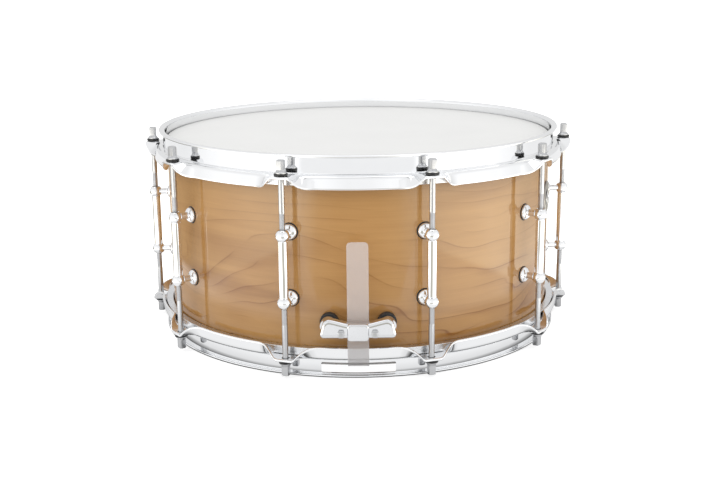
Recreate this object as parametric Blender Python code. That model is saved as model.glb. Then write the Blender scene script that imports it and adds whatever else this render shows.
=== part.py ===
"""A 14 by 6.5 inch snare drum with ten tube lugs, in metres, standing on its snare-side rim.

+Z is up and the origin is on the drum's axis, in the plane that the lower rim rests on. The butt plate
is at -Y, and the strainer, which throws the snares off, is at +Y. Both ends of the drum are alike, so a
piece made for the batter side is turned over for the snare side.
"""

import math

import bmesh
import bpy
from mathutils import Matrix, Vector

INCH = 0.0254
MM = 0.001

# Driving dimensions
HEIGHT = 183.5 * MM  # from rim plane to rim plane
SHELL_DEPTH = 6.5 * INCH
SHELL_RADIUS = 176.2 * MM
SHELL_WALL = 6.0 * MM
BEARING_ROUND = 1.0 * MM  # from the bearing edge's crest to the shell's outer face
ROD_CIRCLE_RADIUS = 191.5 * MM
LUG_COUNT = 10
FIRST_LUG_ANGLE = 18.0  # degrees from the butt plate
GAP = 0.3 * MM  # left between pieces that touch
OVERLAP = 0.5 * MM  # by which pieces that are joined together run into each other
RING_SEGMENTS = 60
SMALL_SIDES = 8  # of lugs, rods and screws
ROUND_SIDES = 12  # of posts, the vent, the knob and the lever's hub
OVAL_SIDES = 24
SHARP_ANGLE = math.radians(35)

# Hoops: depths are measured from the rim plane towards the middle of the drum
HOOP_SHEET = 2.3 * MM
HOOP_INNER_RADIUS = 177.1 * MM
RIM_OUTER_RADIUS = 183.0 * MM
RIM_ROLL = 3.0 * MM
RIM_TAPER = 0.6 * MM
BEND_SIZE = 0.8 * MM
EAR_DEPTH = 15.5 * MM
BEND_RADIUS = 183.9 * MM  # where the flange turns down into the skirt
SKIRT_LEAN = 8.0  # degrees from upright
SKIRT_LENGTH = 9.4 * MM
EAR_LENGTH = 13.6 * MM
EAR_FLAT_ANGLE = 2.3  # half of the flat ear, in degrees
EAR_END_ANGLE = 8.2  # where the ear has become skirt
EAR_STATIONS = [3.4, 4.6, 6.2]  # where the sheet is modelled between those, in degrees from the lug
SKIRT_STATIONS = [13.0, 18.0, 23.0]
EAR_EASING = 1.4  # how gently the skirt leaves its own line
EAR_HOLE_RADIUS = 3.3 * MM
GATE_HALF_WIDTH = 30.6 * MM
GATE_REACHES = (HOOP_INNER_RADIUS - 6.0 * MM, RIM_OUTER_RADIUS - 1.0 * MM)
GATE_DEPTHS = (2.8 * MM, 12.0 * MM)

# Heads
CREST_DEPTH = (HEIGHT - SHELL_DEPTH) / 2  # rim plane to bearing edge
FILM = 0.25 * MM
FILM_DROP_RADIUS = SHELL_RADIUS + 0.2 * MM  # inside of the film where it hangs beside the shell
FLESH_HOOP_RADII = (177.1 * MM, 183.4 * MM)
FLESH_HOOP_HEIGHT = 6.6 * MM
FILM_BEND = 1.0 * MM
FILM_LIP_DEPTH = 11.2 * MM  # below the bearing edge
FILM_LIP_RADIUS = 180.3 * MM
FILM_LIP_THICKNESS = 0.3 * MM
LIP_SLOT_GAP = 0.5 * MM  # round the lip, in the flesh hoop

# Lugs and tension rods
BALL_HEIGHTS = (64.3 * MM, 119.8 * MM)
BALL_RADIUS = 6.0 * MM
BALL_END = 5.6 * MM  # from a ball's middle to the flat round its bore
BALL_SHOULDER = (4.8 * MM, 3.6 * MM)  # radius and distance from the ball's middle
BALL_NECK = 4.7 * MM  # from a ball's middle to the tube
TUBE_RADIUS = 4.0 * MM
BORE_RADIUS = 2.9 * MM
BORE_DEPTH = 21.0 * MM
STEM_RADIUS = 2.8 * MM
FOOT_RADIUS = 6.6 * MM
FOOT_THICKNESS = 2.2 * MM
FOOT_GAP = 0.4 * MM  # taken by the foot's gasket
FOOT_CONE = 1.0 * MM
STEM_REACH = ROD_CIRCLE_RADIUS - 3.5 * MM  # inside the ball, short of its bore
ROD_RADIUS = 2.5 * MM
ROD_TIP_DEPTH = 71.5 * MM
WASHER_RADIUS = 5.6 * MM
WASHER_THICKNESS = 1.6 * MM
COLLAR_RADIUS = 4.2 * MM
COLLAR_TOP_DEPTH = 11.2 * MM
KEY_HALF_WIDTH = 3.1 * MM
KEY_DEPTHS = (10.8 * MM, 2.6 * MM)

# Vent and badge
VENT_ANGLE = 72.0
VENT_HEIGHT = 122.0 * MM
VENT_BORE_RADIUS = 3.5 * MM
VENT_TUBE_RADIUS = 5.0 * MM
VENT_FLANGE_RADIUS = 6.8 * MM
VENT_FLANGE_THICKNESS = 0.8 * MM
BADGE_HALF_SIZES = (10.0 * MM, 15.0 * MM)
BADGE_THICKNESS = 1.5 * MM

# Snare straps: reach is the distance from the drum's axis
STRAP_WIDTH = 17.4 * MM
STRAP_THICKNESS = 0.45 * MM
STRAP_REACH = 190.0 * MM
STRAP_CORNER = 2.0 * MM
STRAP_BEND = [  # (reach, height) in millimetres, from the wires, out by the gate and up
    (157.5, 7.5),
    (172.0, 7.5),
    (175.5, 7.9),
    (179.5, 10.0),
    (183.5, 11.6),
    (187.2, 13.8),
    (189.4, 16.6),
    (190.0, 20.0),
]
BUTT_STRAP_TOP = 116.0 * MM
STRAINER_STRAP_TOP = 78.0 * MM
CLAMP_SCREW_OFFSET = 13.5 * MM
CLAMP_SCREW_RADIUS = 1.8 * MM
CLAMP_HOLE_RADIUS = 2.3 * MM
SCREW_COLLAR_RADIUS = 3.0 * MM
SCREW_COLLAR_THICKNESS = 1.0 * MM
SCREW_KEY_HALF_WIDTH = 2.2 * MM
SCREW_KEY_HEIGHTS = (1.4 * MM, 4.6 * MM)
CLAMP_BAR_THICKNESS = 4.2 * MM
CLAMP_BAR_MARGIN = 2.6 * MM  # beyond the screws
OUTER_REACH = 202.4 * MM  # of the outermost point, at the front and at the back

# Butt plate
BUTT_HEIGHT = 44.5 * MM
WING_REACHES = (190.6 * MM, 197.5 * MM)  # back and front
WING_OUTLINE = [  # (x, height above BUTT_HEIGHT) in millimetres, of the wing at +X
    (8.6, -5.9),
    (28.8, -5.7),
    (30.8, -3.6),
    (28.0, 8.0),
    (24.0, 10.4),
    (20.0, 9.6),
    (8.6, 6.4),
]
BOSS_HALF_WIDTH = 8.6 * MM
BOSS_HEIGHTS = (BUTT_HEIGHT - 7.4 * MM, BUTT_HEIGHT + 6.6 * MM)
BOSS_FRONT = 200.0 * MM
POST_ANGLE = 7.5
POST_HEIGHT = BUTT_HEIGHT + 2.4 * MM
POST_RADII = (6.2 * MM, 5.6 * MM)  # at the gasket and in the wing
BUTT_GASKET_RADIUS = 7.6 * MM
BUTT_GASKET_REACHES = (SHELL_RADIUS + 0.5 * MM, SHELL_RADIUS + 6.0 * MM)
BUTT_SCREW_HEIGHT = BUTT_HEIGHT - 1.5 * MM
BUTT_BAR_HALF_HEIGHT = 4.2 * MM
BUTT_SCREW_TIP = 184.8 * MM

# Strainer
STRAINER_CLAMP_HEIGHT = 60.0 * MM
CLAMP_PLATE_HALF_HEIGHT = 6.0 * MM
CHANNEL_HALF_WIDTH = 17.5 * MM
CHEEK_THICKNESS = 3.0 * MM
STRAINER_BASE = (177.7 * MM, 180.0 * MM)
STRAINER_HEIGHTS = (44.0 * MM, 98.0 * MM)
PIN_REACH = 194.0 * MM
PIN_HEIGHT = 88.0 * MM
PIN_RADIUS = 1.6 * MM
PIN_BORE_RADIUS = PIN_RADIUS + GAP
HUB_RADIUS = 4.4 * MM
HUB_HALF_WIDTH = CHANNEL_HALF_WIDTH - 1.5 * GAP
CHEEK_FRONT = 196.0 * MM
CHEEK_OUTLINE = [  # (reach, height) in front of the base, upwards
    (CHEEK_FRONT, STRAINER_HEIGHTS[0] + 3.0 * MM),
    (CHEEK_FRONT, PIN_HEIGHT - 8.0 * MM),
    (PIN_REACH + HUB_RADIUS, PIN_HEIGHT - 3.0 * MM),
    (PIN_REACH + HUB_RADIUS, PIN_HEIGHT + 3.0 * MM),
    (CHEEK_FRONT, PIN_HEIGHT + 6.0 * MM),
]
LEVER_HALF_WIDTH = 10.0 * MM
PADDLE_FRONT = 3.4 * MM
PADDLE_TIP = OUTER_REACH - PIN_REACH
PADDLE_TOP = 40.0 * MM
PADDLE_OUTLINE = [  # (reach, height) from the pin
    (0.0, 1.0 * MM),
    (PADDLE_FRONT, 1.0 * MM),
    (PADDLE_FRONT, PADDLE_TOP - 9.0 * MM),
    (PADDLE_TIP, PADDLE_TOP - 2.5 * MM),
    (PADDLE_TIP - 1.5 * MM, PADDLE_TOP),
    (0.6 * MM, PADDLE_TOP - 7.0 * MM),
]
KNOB_REACH = 186.2 * MM
KNOB_RADIUS = 5.8 * MM
KNOB_HEIGHTS = (100.3 * MM, 109.3 * MM)
KNOB_CHAMFER = 1.0 * MM
KNOB_SHAFT_RADIUS = 1.6 * MM
KNOB_SHAFT_TIP = 55.0 * MM
SHAFT_HOLE_RADIUS = 2.0 * MM
SHAFT_HOLE_HEIGHTS = (40.0 * MM, 120.0 * MM)
CARRIAGE_HEIGHTS = (72.0 * MM, KNOB_HEIGHTS[0] - GAP)
SLIDE_HALF_HEIGHT = 8.0 * MM
SLIDE_LEDGE = 0.4 * MM  # by which the clamp slide stands in front of the carriage
SLIDE_REACHES = (180.4 * MM, 189.0 * MM)

# Snare wires
STRAND_COUNT = 20
STRAND_PITCH = 2.2 * MM
STRAND_WIDTH = 1.3 * MM
STRAND_HEIGHTS = (7.0 * MM, 8.3 * MM)
STRAND_END = 156.0 * MM
END_PLATE_REACHES = (152.0 * MM, 165.0 * MM)
END_PLATE_HEIGHTS = (5.8 * MM, 7.1 * MM)
END_PLATE_HALF_WIDTH = 23.0 * MM


def clear_scene():
    for obj in list(bpy.data.objects):
        bpy.data.objects.remove(obj)


def principled(name, colour, roughness, metallic=0.0):
    """A Principled BSDF material."""
    made = bpy.data.materials.new(name)
    made.use_nodes = True
    shader = made.node_tree.nodes["Principled BSDF"]
    shader.inputs["Base Color"].default_value = (*colour, 1.0)
    shader.inputs["Roughness"].default_value = roughness
    shader.inputs["Metallic"].default_value = metallic
    return made


def place(name, mesh, material, location=(0.0, 0.0, 0.0), rotation=(0.0, 0.0, 0.0), parent=None):
    """An object that shows the mesh, shaded smooth. The location is the drum's, also under a parent."""
    obj = bpy.data.objects.new(name, mesh)
    bpy.context.scene.collection.objects.link(obj)
    if not mesh.materials:
        mesh.materials.append(material)
    mesh.shade_smooth()
    mesh.set_sharp_from_angle(angle=SHARP_ANGLE)
    obj.location = location
    obj.rotation_euler = rotation
    if parent:
        obj.parent = parent
        obj.matrix_parent_inverse = Matrix.Translation(-parent.location)
    return obj


def cutter(name, mesh):
    """An object that only cuts or joins: it isn't rendered."""
    obj = bpy.data.objects.new(name, mesh)
    bpy.context.scene.collection.objects.link(obj)
    obj.hide_render = True
    obj.display_type = "WIRE"
    return obj


def boolean(obj, other, operation="DIFFERENCE"):
    modifier = obj.modifiers.new(other.name, "BOOLEAN")
    modifier.operation = operation
    modifier.solver = "EXACT"
    modifier.object = other


def applied(name, mesh, unions=(), cuts=()):
    """The mesh with the other meshes joined to it and cut from it."""
    base = cutter(name + "_base", mesh)
    tools = [cutter(f"{name}_union_{i}", m) for i, m in enumerate(unions)]
    tools += [cutter(f"{name}_cut_{i}", m) for i, m in enumerate(cuts)]
    for i, tool in enumerate(tools):
        boolean(base, tool, "UNION" if i < len(unions) else "DIFFERENCE")
    bpy.context.view_layer.update()
    graph = bpy.context.evaluated_depsgraph_get()
    result = bpy.data.meshes.new_from_object(base.evaluated_get(graph))
    result.name = name
    for obj in (base, *tools):
        bpy.data.objects.remove(obj)
    return result


def add_loft(bm, rings, closed=False):
    """Adds a solid skinned over rings of points. Open ends are capped, and a closed row joins up."""
    rows = [[bm.verts.new(p) for p in ring] for ring in rings]
    faces = []
    count = len(rows[0])
    for i in range(len(rows) if closed else len(rows) - 1):
        a, b = rows[i], rows[(i + 1) % len(rows)]
        for k in range(count):
            n = (k + 1) % count
            faces.append(bm.faces.new((a[k], a[n], b[n], b[k])))
    if not closed:
        faces.append(bm.faces.new(rows[0]))
        faces.append(bm.faces.new(rows[-1]))
    bmesh.ops.recalc_face_normals(bm, faces=faces)


def loft(name, *solids, closed=False):
    """A mesh of one or more lofted solids, each a list of rings."""
    bm = bmesh.new()
    for rings in solids:
        add_loft(bm, rings, closed)
    mesh = bpy.data.meshes.new(name)
    bm.to_mesh(mesh)
    bm.free()
    return mesh


def circle(radius, height, segments):
    """Points around Z."""
    angles = [2 * math.pi * k / segments for k in range(segments)]
    return [Vector((radius * math.cos(a), radius * math.sin(a), height)) for a in angles]


def turned(profile, segments):
    """Rings of a solid turned about Z from (radius, height) pairs."""
    return [circle(r, z, segments) for r, z in profile]


def box(low, high):
    """Rings of a box between two corners."""
    (x0, y0, z0), (x1, y1, z1) = low, high
    return [
        [Vector(p) for p in ((x0, y0, z), (x1, y0, z), (x1, y1, z), (x0, y1, z))] for z in (z0, z1)
    ]


def moved(rings, matrix):
    return [[matrix @ p for p in ring] for ring in rings]


def prism(outline, low_y, high_y):
    """Rings of a plate whose (x, z) outline is extruded along Y."""
    return [[Vector((x, y, z)) for x, z in outline] for y in (low_y, high_y)]


def side_prism(outline, half_width):
    """Rings of a bar whose (y, z) outline is extruded along X, both ways."""
    return [[Vector((x, y, z)) for y, z in outline] for x in (-half_width, half_width)]


def outward(reach, height, side=-1):
    """Carries a shape turned about Z to one that points out of the drum at -Y, or +Y for side 1."""
    tilt = Matrix.Rotation(-side * math.pi / 2, 4, "X")
    return Matrix.Translation((0.0, side * reach, height)) @ tilt


def turn_z(degrees):
    return Matrix.Rotation(math.radians(degrees), 4, "Z")


def lug_angles():
    """Angles from the butt plate, turning from -Y towards +X."""
    return [FIRST_LUG_ANGLE + i * 360.0 / LUG_COUNT for i in range(LUG_COUNT)]


def on_rod_circle(degrees, height=0.0):
    a = math.radians(degrees)
    return Vector((ROD_CIRCLE_RADIUS * math.sin(a), -ROD_CIRCLE_RADIUS * math.cos(a), height))


# Materials


def make_materials():
    return {
        "maple": principled("maple_lacquer", (0.55, 0.31, 0.11), 0.18),
        "chrome": principled("chrome", (0.86, 0.87, 0.88), 0.08, 1.0),
        "steel": principled("steel", (0.62, 0.62, 0.62), 0.25, 1.0),
        "coated": principled("coated_film", (0.93, 0.93, 0.92), 0.6),
        "clear": principled("thin_film", (0.85, 0.86, 0.87), 0.25),
        "alloy": principled("flesh_hoop_alloy", (0.78, 0.79, 0.8), 0.3, 1.0),
        "strap": principled("milky_strap", (0.83, 0.78, 0.74), 0.4),
        "rubber": principled("gasket_rubber", (0.05, 0.05, 0.05), 0.6),
    }


# Shell


def make_shell(materials):
    """A plywood cylinder whose 45 degree bearing edges crest just inside its outer face."""
    crest = SHELL_RADIUS - BEARING_ROUND
    inner = SHELL_RADIUS - SHELL_WALL
    slope = crest - inner
    low, high = CREST_DEPTH, HEIGHT - CREST_DEPTH
    profile = [
        (SHELL_RADIUS, low + BEARING_ROUND),
        (SHELL_RADIUS, high - BEARING_ROUND),
        (crest, high),
        (inner, high - slope),
        (inner, low + slope),
        (crest, low),
    ]
    shell = place(
        "shell", loft("shell", turned(profile, RING_SEGMENTS), closed=True), materials["maple"]
    )
    radius, reach = VENT_TUBE_RADIUS + GAP, 2 * SHELL_WALL
    hole = turned([(radius, -reach), (radius, reach)], ROUND_SIDES)
    carry = turn_z(VENT_ANGLE) @ outward(SHELL_RADIUS, VENT_HEIGHT)
    boolean(shell, cutter("vent_hole_cutter", loft("vent_hole", moved(hole, carry))))


# Heads


def make_heads(materials):
    """Films and flesh hoops, with heights counted from the bearing edge. Both sides share a mesh."""
    drop = FILM_DROP_RADIUS
    lip = -FILM_LIP_DEPTH
    film_rings = turned(
        [
            (drop + FILM - FILM_BEND, GAP + FILM),
            (drop + FILM, GAP + FILM - FILM_BEND),
            (drop + FILM, lip),
            (FILM_LIP_RADIUS, lip),
            (FILM_LIP_RADIUS, lip - FILM_LIP_THICKNESS),
            (drop, lip - FILM_LIP_THICKNESS),
            (drop, GAP - FILM_BEND),
            (drop - FILM_BEND, GAP),
        ],
        RING_SEGMENTS,
    )
    inner, outer = FLESH_HOOP_RADII
    top = CREST_DEPTH - EAR_DEPTH - HOOP_SHEET - GAP
    bottom = top - FLESH_HOOP_HEIGHT
    slot_low, slot_high = lip - FILM_LIP_THICKNESS - LIP_SLOT_GAP, lip + LIP_SLOT_GAP
    slot_radius = FILM_LIP_RADIUS + LIP_SLOT_GAP
    flesh_rings = turned(
        [
            (inner, top),
            (outer, top),
            (outer, bottom),
            (inner, bottom),
            (inner, slot_low),
            (slot_radius, slot_low),
            (slot_radius, slot_high),
            (inner, slot_high),
        ],
        RING_SEGMENTS,
    )
    flesh_mesh = loft("flesh_hoop", flesh_rings, closed=True)
    sides = (
        ("batter", "coated", HEIGHT - CREST_DEPTH, (0.0, 0.0, 0.0)),
        ("snare", "clear", CREST_DEPTH, (math.pi, 0.0, 0.0)),
    )
    for side, film, height, rotation in sides:
        film_mesh = loft(side + "_head_film", film_rings)
        place(side + "_head_film", film_mesh, materials[film], (0, 0, height), rotation)
        place(side + "_flesh_hoop", flesh_mesh, materials["alloy"], (0, 0, height), rotation)


# Hoops


def ear_share(offset):
    """1 where the flange is a flat ear, 0 where it is skirt, for an angle from the lug in degrees."""
    share = (EAR_END_ANGLE - abs(offset)) / (EAR_END_ANGLE - EAR_FLAT_ANGLE)
    return min(1.0, max(0.0, share)) ** EAR_EASING


def hoop_section(share):
    """(radius, height) points around the sheet, with heights below the rim plane."""
    swing = math.radians(SKIRT_LEAN + (90.0 - SKIRT_LEAN) * share)
    along = Vector((math.sin(swing), -math.cos(swing)))
    normal = Vector((math.cos(swing), math.sin(swing)))
    halfway = Vector((math.cos((swing + math.pi / 2) / 2), math.sin((swing + math.pi / 2) / 2)))
    bend = Vector((BEND_RADIUS, -EAR_DEPTH - HOOP_SHEET))
    length = SKIRT_LENGTH + (EAR_LENGTH - SKIRT_LENGTH) * share
    wall = HOOP_INNER_RADIUS + HOOP_SHEET
    return [
        Vector((HOOP_INNER_RADIUS, 0.0)),
        Vector((RIM_OUTER_RADIUS, 0.0)),
        Vector((RIM_OUTER_RADIUS, RIM_TAPER - RIM_ROLL)),
        Vector((wall, -RIM_ROLL)),
        Vector((wall, -EAR_DEPTH)),
        bend + HOOP_SHEET * halfway,
        bend + HOOP_SHEET * normal + BEND_SIZE * along,
        bend + HOOP_SHEET * normal + length * along,
        bend + length * along,
        bend,
        Vector((HOOP_INNER_RADIUS, -EAR_DEPTH - HOOP_SHEET)),
    ]


def make_hoops(materials):
    """Triple-flanged hoops: a rolled rim, a wall, and a flange that is a skirt between its ears."""
    half = [EAR_FLAT_ANGLE, *EAR_STATIONS, EAR_END_ANGLE]
    offsets = [-a for a in reversed(half)] + half + SKIRT_STATIONS
    rings = []
    for lug in lug_angles():
        for offset in offsets:
            a = math.radians(lug + offset)
            section = hoop_section(ear_share(offset))
            rings.append([Vector((p.x * math.sin(a), -p.x * math.cos(a), p.y)) for p in section])
    mesh = loft("hoop", rings, closed=True)
    batter = place("batter_hoop", mesh, materials["chrome"], (0, 0, HEIGHT))
    snare = place("snare_side_hoop", mesh, materials["chrome"], rotation=(math.pi, 0, 0))
    reach = 2 * HOOP_SHEET
    for side, height in (("batter", HEIGHT - EAR_DEPTH), ("snare", EAR_DEPTH)):
        levels = [(EAR_HOLE_RADIUS, height - reach), (EAR_HOLE_RADIUS, height + reach)]
        holes = [
            moved(turned(levels, SMALL_SIDES), Matrix.Translation(on_rod_circle(angle)))
            for angle in lug_angles()
        ]
        tool = cutter(side + "_ear_hole_cutter", loft(side + "_ear_holes", *holes))
        boolean(batter if side == "batter" else snare, tool)
    gates = []
    for side in (-1, 1):
        near, far = sorted(side * reach for reach in GATE_REACHES)
        low = (-GATE_HALF_WIDTH, near, GATE_DEPTHS[0])
        gates.append(box(low, (GATE_HALF_WIDTH, far, GATE_DEPTHS[1])))
    boolean(snare, cutter("snare_gate_cutter", loft("snare_gates", *gates)))


# Lugs and tension rods


def make_lugs(materials):
    """Tube lugs: a tube between two balls, each ball bored for a rod and standing on a footed stem."""
    low, high = BALL_HEIGHTS
    shoulder, shoulder_end = BALL_SHOULDER
    profile = [
        (BORE_RADIUS, low - BALL_END + BORE_DEPTH),
        (BORE_RADIUS, low - BALL_END),
        (shoulder, low - shoulder_end),
        (BALL_RADIUS, low),
        (TUBE_RADIUS, low + BALL_NECK),
        (TUBE_RADIUS, high - BALL_NECK),
        (BALL_RADIUS, high),
        (shoulder, high + shoulder_end),
        (BORE_RADIUS, high + BALL_END),
        (BORE_RADIUS, high + BALL_END - BORE_DEPTH),
    ]
    tube = moved(turned(profile, SMALL_SIDES), Matrix.Translation(on_rod_circle(0.0)))
    foot = SHELL_RADIUS + FOOT_GAP
    stem = [
        (FOOT_RADIUS, foot),
        (FOOT_RADIUS, foot + FOOT_THICKNESS),
        (STEM_RADIUS, foot + FOOT_THICKNESS + FOOT_CONE),
        (STEM_RADIUS, STEM_REACH),
    ]
    stems = [moved(turned(stem, SMALL_SIDES), outward(0.0, height)) for height in BALL_HEIGHTS]
    mesh = applied("tube_lug", loft("lug_tube", tube), unions=[loft("stem", s) for s in stems])
    for i, angle in enumerate(lug_angles()):
        place(f"tube_lug_{i + 1:02d}", mesh, materials["chrome"], rotation=(0, 0, math.radians(angle)))


def square_ring(half_width, height):
    """Points around a square, its corners and mid-sides, so that it joins an eight-sided ring."""
    points = []
    for k in range(SMALL_SIDES):
        a = 2 * math.pi * k / SMALL_SIDES
        radius = half_width * (math.sqrt(2) if k % 2 else 1.0)
        points.append(Vector((radius * math.cos(a), radius * math.sin(a), height)))
    return points


def make_rods(materials):
    """Key rods, each turning about its own axis, with its washers. Heights are from the rim plane."""
    washer = GAP - EAR_DEPTH
    rings = turned(
        [
            (ROD_RADIUS, -ROD_TIP_DEPTH),
            (ROD_RADIUS, washer),
            (WASHER_RADIUS, washer),
            (WASHER_RADIUS, washer + WASHER_THICKNESS),
            (COLLAR_RADIUS, -COLLAR_TOP_DEPTH),
        ],
        SMALL_SIDES,
    )
    rings += [square_ring(KEY_HALF_WIDTH, -depth) for depth in KEY_DEPTHS]
    mesh = loft("tension_rod", rings)
    for i, angle in enumerate(lug_angles()):
        turn = math.radians(angle)
        name = f"batter_tension_rod_{i + 1:02d}"
        place(name, mesh, materials["chrome"], on_rod_circle(angle, HEIGHT), (0, 0, turn))
        name = f"snare_tension_rod_{i + 1:02d}"
        place(name, mesh, materials["chrome"], on_rod_circle(angle), (math.pi, 0, turn))


# Vent grommet and badge


def make_badge(materials):
    """An oval badge held on the shell by the vent's grommet."""
    carry = turn_z(VENT_ANGLE) @ outward(0.0, VENT_HEIGHT)
    back = SHELL_RADIUS + GAP
    front = back + BADGE_THICKNESS
    half_width, half_height = BADGE_HALF_SIZES
    oval = circle(1.0, 0.0, OVAL_SIDES)
    plate = [
        [Vector((p.x * half_width, p.y * half_height, reach)) for p in oval]
        for reach in (back, front)
    ]
    hole_radius = VENT_TUBE_RADIUS + GAP
    hole = turned([(hole_radius, back - MM), (hole_radius, front + MM)], ROUND_SIDES)
    mesh = applied("badge", loft("plate", moved(plate, carry)), cuts=[loft("hole", moved(hole, carry))])
    place("badge", mesh, materials["steel"])
    inner = SHELL_RADIUS - SHELL_WALL - 2 * GAP
    outer = front + GAP
    profile = [
        (VENT_BORE_RADIUS, outer + VENT_FLANGE_THICKNESS),
        (VENT_FLANGE_RADIUS, outer + VENT_FLANGE_THICKNESS),
        (VENT_FLANGE_RADIUS, outer),
        (VENT_TUBE_RADIUS, outer),
        (VENT_TUBE_RADIUS, inner),
        (VENT_FLANGE_RADIUS, inner),
        (VENT_FLANGE_RADIUS, inner - VENT_FLANGE_THICKNESS),
        (VENT_BORE_RADIUS, inner - VENT_FLANGE_THICKNESS),
    ]
    mesh = loft("vent_grommet", moved(turned(profile, ROUND_SIDES), carry), closed=True)
    place("vent_grommet", mesh, materials["chrome"])


# Clamps and straps, shared by the butt plate and the strainer


def clamp_holes(name, side, height, reaches):
    """Clearance holes for the two clamp screws."""
    levels = [(CLAMP_HOLE_RADIUS, reaches[0]), (CLAMP_HOLE_RADIUS, reaches[1])]
    hole = turned(levels, SMALL_SIDES)
    carry = outward(0.0, height, side)
    solids = [
        moved(hole, Matrix.Translation((x, 0, 0)) @ carry)
        for x in (-CLAMP_SCREW_OFFSET, CLAMP_SCREW_OFFSET)
    ]
    return cutter(name, loft(name, *solids))


def make_clamp_screws(names, side, height, head_reach, tip_reach, material, parent=None):
    """Key-head screws: a shank, a collar and a square head."""
    rings = turned(
        [
            (CLAMP_SCREW_RADIUS, tip_reach - head_reach),
            (CLAMP_SCREW_RADIUS, 0.0),
            (SCREW_COLLAR_RADIUS, 0.0),
            (SCREW_COLLAR_RADIUS, SCREW_COLLAR_THICKNESS),
        ],
        SMALL_SIDES,
    )
    rings += [square_ring(SCREW_KEY_HALF_WIDTH, height) for height in SCREW_KEY_HEIGHTS]
    mesh = loft("clamp_screw", rings)
    tilt = (-side * math.pi / 2, 0, 0)
    for name, x in zip(names, (-CLAMP_SCREW_OFFSET, CLAMP_SCREW_OFFSET)):
        place(name, mesh, material, (x, side * head_reach, height), tilt, parent)


def make_strap(name, side, top, material, parent=None):
    """A flat strap: up beside the drum, and in through the snare gate to the end of the wires."""
    route = [(reach * MM, height * MM) for reach, height in STRAP_BEND]
    route += [(STRAP_REACH, top - STRAP_CORNER), (STRAP_REACH, top)]
    rings = []
    for i, (reach, height) in enumerate(route):
        before, after = route[max(i - 1, 0)], route[min(i + 1, len(route) - 1)]
        along = Vector((after[0] - before[0], after[1] - before[1])).normalized()
        normal = Vector((along.y, -along.x)) * STRAP_THICKNESS / 2
        half = STRAP_WIDTH / 2 - (STRAP_CORNER if height == top else 0.0)
        rings.append(
            [
                Vector((x, side * (reach + way * normal.x), height + way * normal.y))
                for x, way in ((-half, 1), (half, 1), (half, -1), (-half, -1))
            ]
        )
    place(name, loft(name, rings), material, parent=parent)


# Butt plate


def make_butt(materials):
    """A bow-tie casting on two posts, with a clamp bar drawn up behind it by two screws."""
    wing_back, wing_front = WING_REACHES
    outline = WING_OUTLINE + [(-x, z) for x, z in reversed(WING_OUTLINE)]
    plate = prism([(x * MM, BUTT_HEIGHT + z * MM) for x, z in outline], -wing_front, -wing_back)
    low, high = BOSS_HEIGHTS
    boss = box((-BOSS_HALF_WIDTH, -BOSS_FRONT, low), (BOSS_HALF_WIDTH, OVERLAP - wing_front, high))
    gasket_back, gasket_front = BUTT_GASKET_REACHES
    gasket_levels = [(BUTT_GASKET_RADIUS, gasket_back), (BUTT_GASKET_RADIUS, gasket_front)]
    post_levels = [(POST_RADII[0], gasket_front + GAP), (POST_RADII[1], wing_back + 3 * OVERLAP)]
    posts = []
    for side, angle in (("left", -POST_ANGLE), ("right", POST_ANGLE)):
        carry = turn_z(angle) @ outward(0.0, POST_HEIGHT)
        posts.append(loft("post", moved(turned(post_levels, ROUND_SIDES), carry)))
        gasket = loft("butt_gasket", moved(turned(gasket_levels, ROUND_SIDES), carry))
        place(f"butt_gasket_{side}", gasket, materials["rubber"])
    mesh = applied("butt_plate", loft("plate", plate), unions=[loft("boss", boss), *posts])
    butt = place("butt_plate", mesh, materials["chrome"])
    bar_half = CLAMP_SCREW_OFFSET + CLAMP_BAR_MARGIN
    bar_front = STRAP_REACH - STRAP_THICKNESS / 2 - GAP
    low = BUTT_SCREW_HEIGHT - BUTT_BAR_HALF_HEIGHT
    high = BUTT_SCREW_HEIGHT + BUTT_BAR_HALF_HEIGHT
    bar = box((-bar_half, -bar_front, low), (bar_half, CLAMP_BAR_THICKNESS - bar_front, high))
    clamp_bar = place("butt_clamp_bar", loft("butt_clamp_bar", bar), materials["chrome"])
    reaches = (BUTT_SCREW_TIP - MM, BOSS_FRONT + MM)
    holes = clamp_holes("butt_screw_hole_cutter", -1, BUTT_SCREW_HEIGHT, reaches)
    boolean(butt, holes)
    boolean(clamp_bar, holes)
    names = ("butt_clamp_screw_left", "butt_clamp_screw_right")
    reaches = (wing_front + GAP, BUTT_SCREW_TIP)
    make_clamp_screws(names, -1, BUTT_SCREW_HEIGHT, *reaches, materials["chrome"])
    make_strap("butt_strap", -1, BUTT_STRAP_TOP, materials["strap"])


# Strainer


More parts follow.
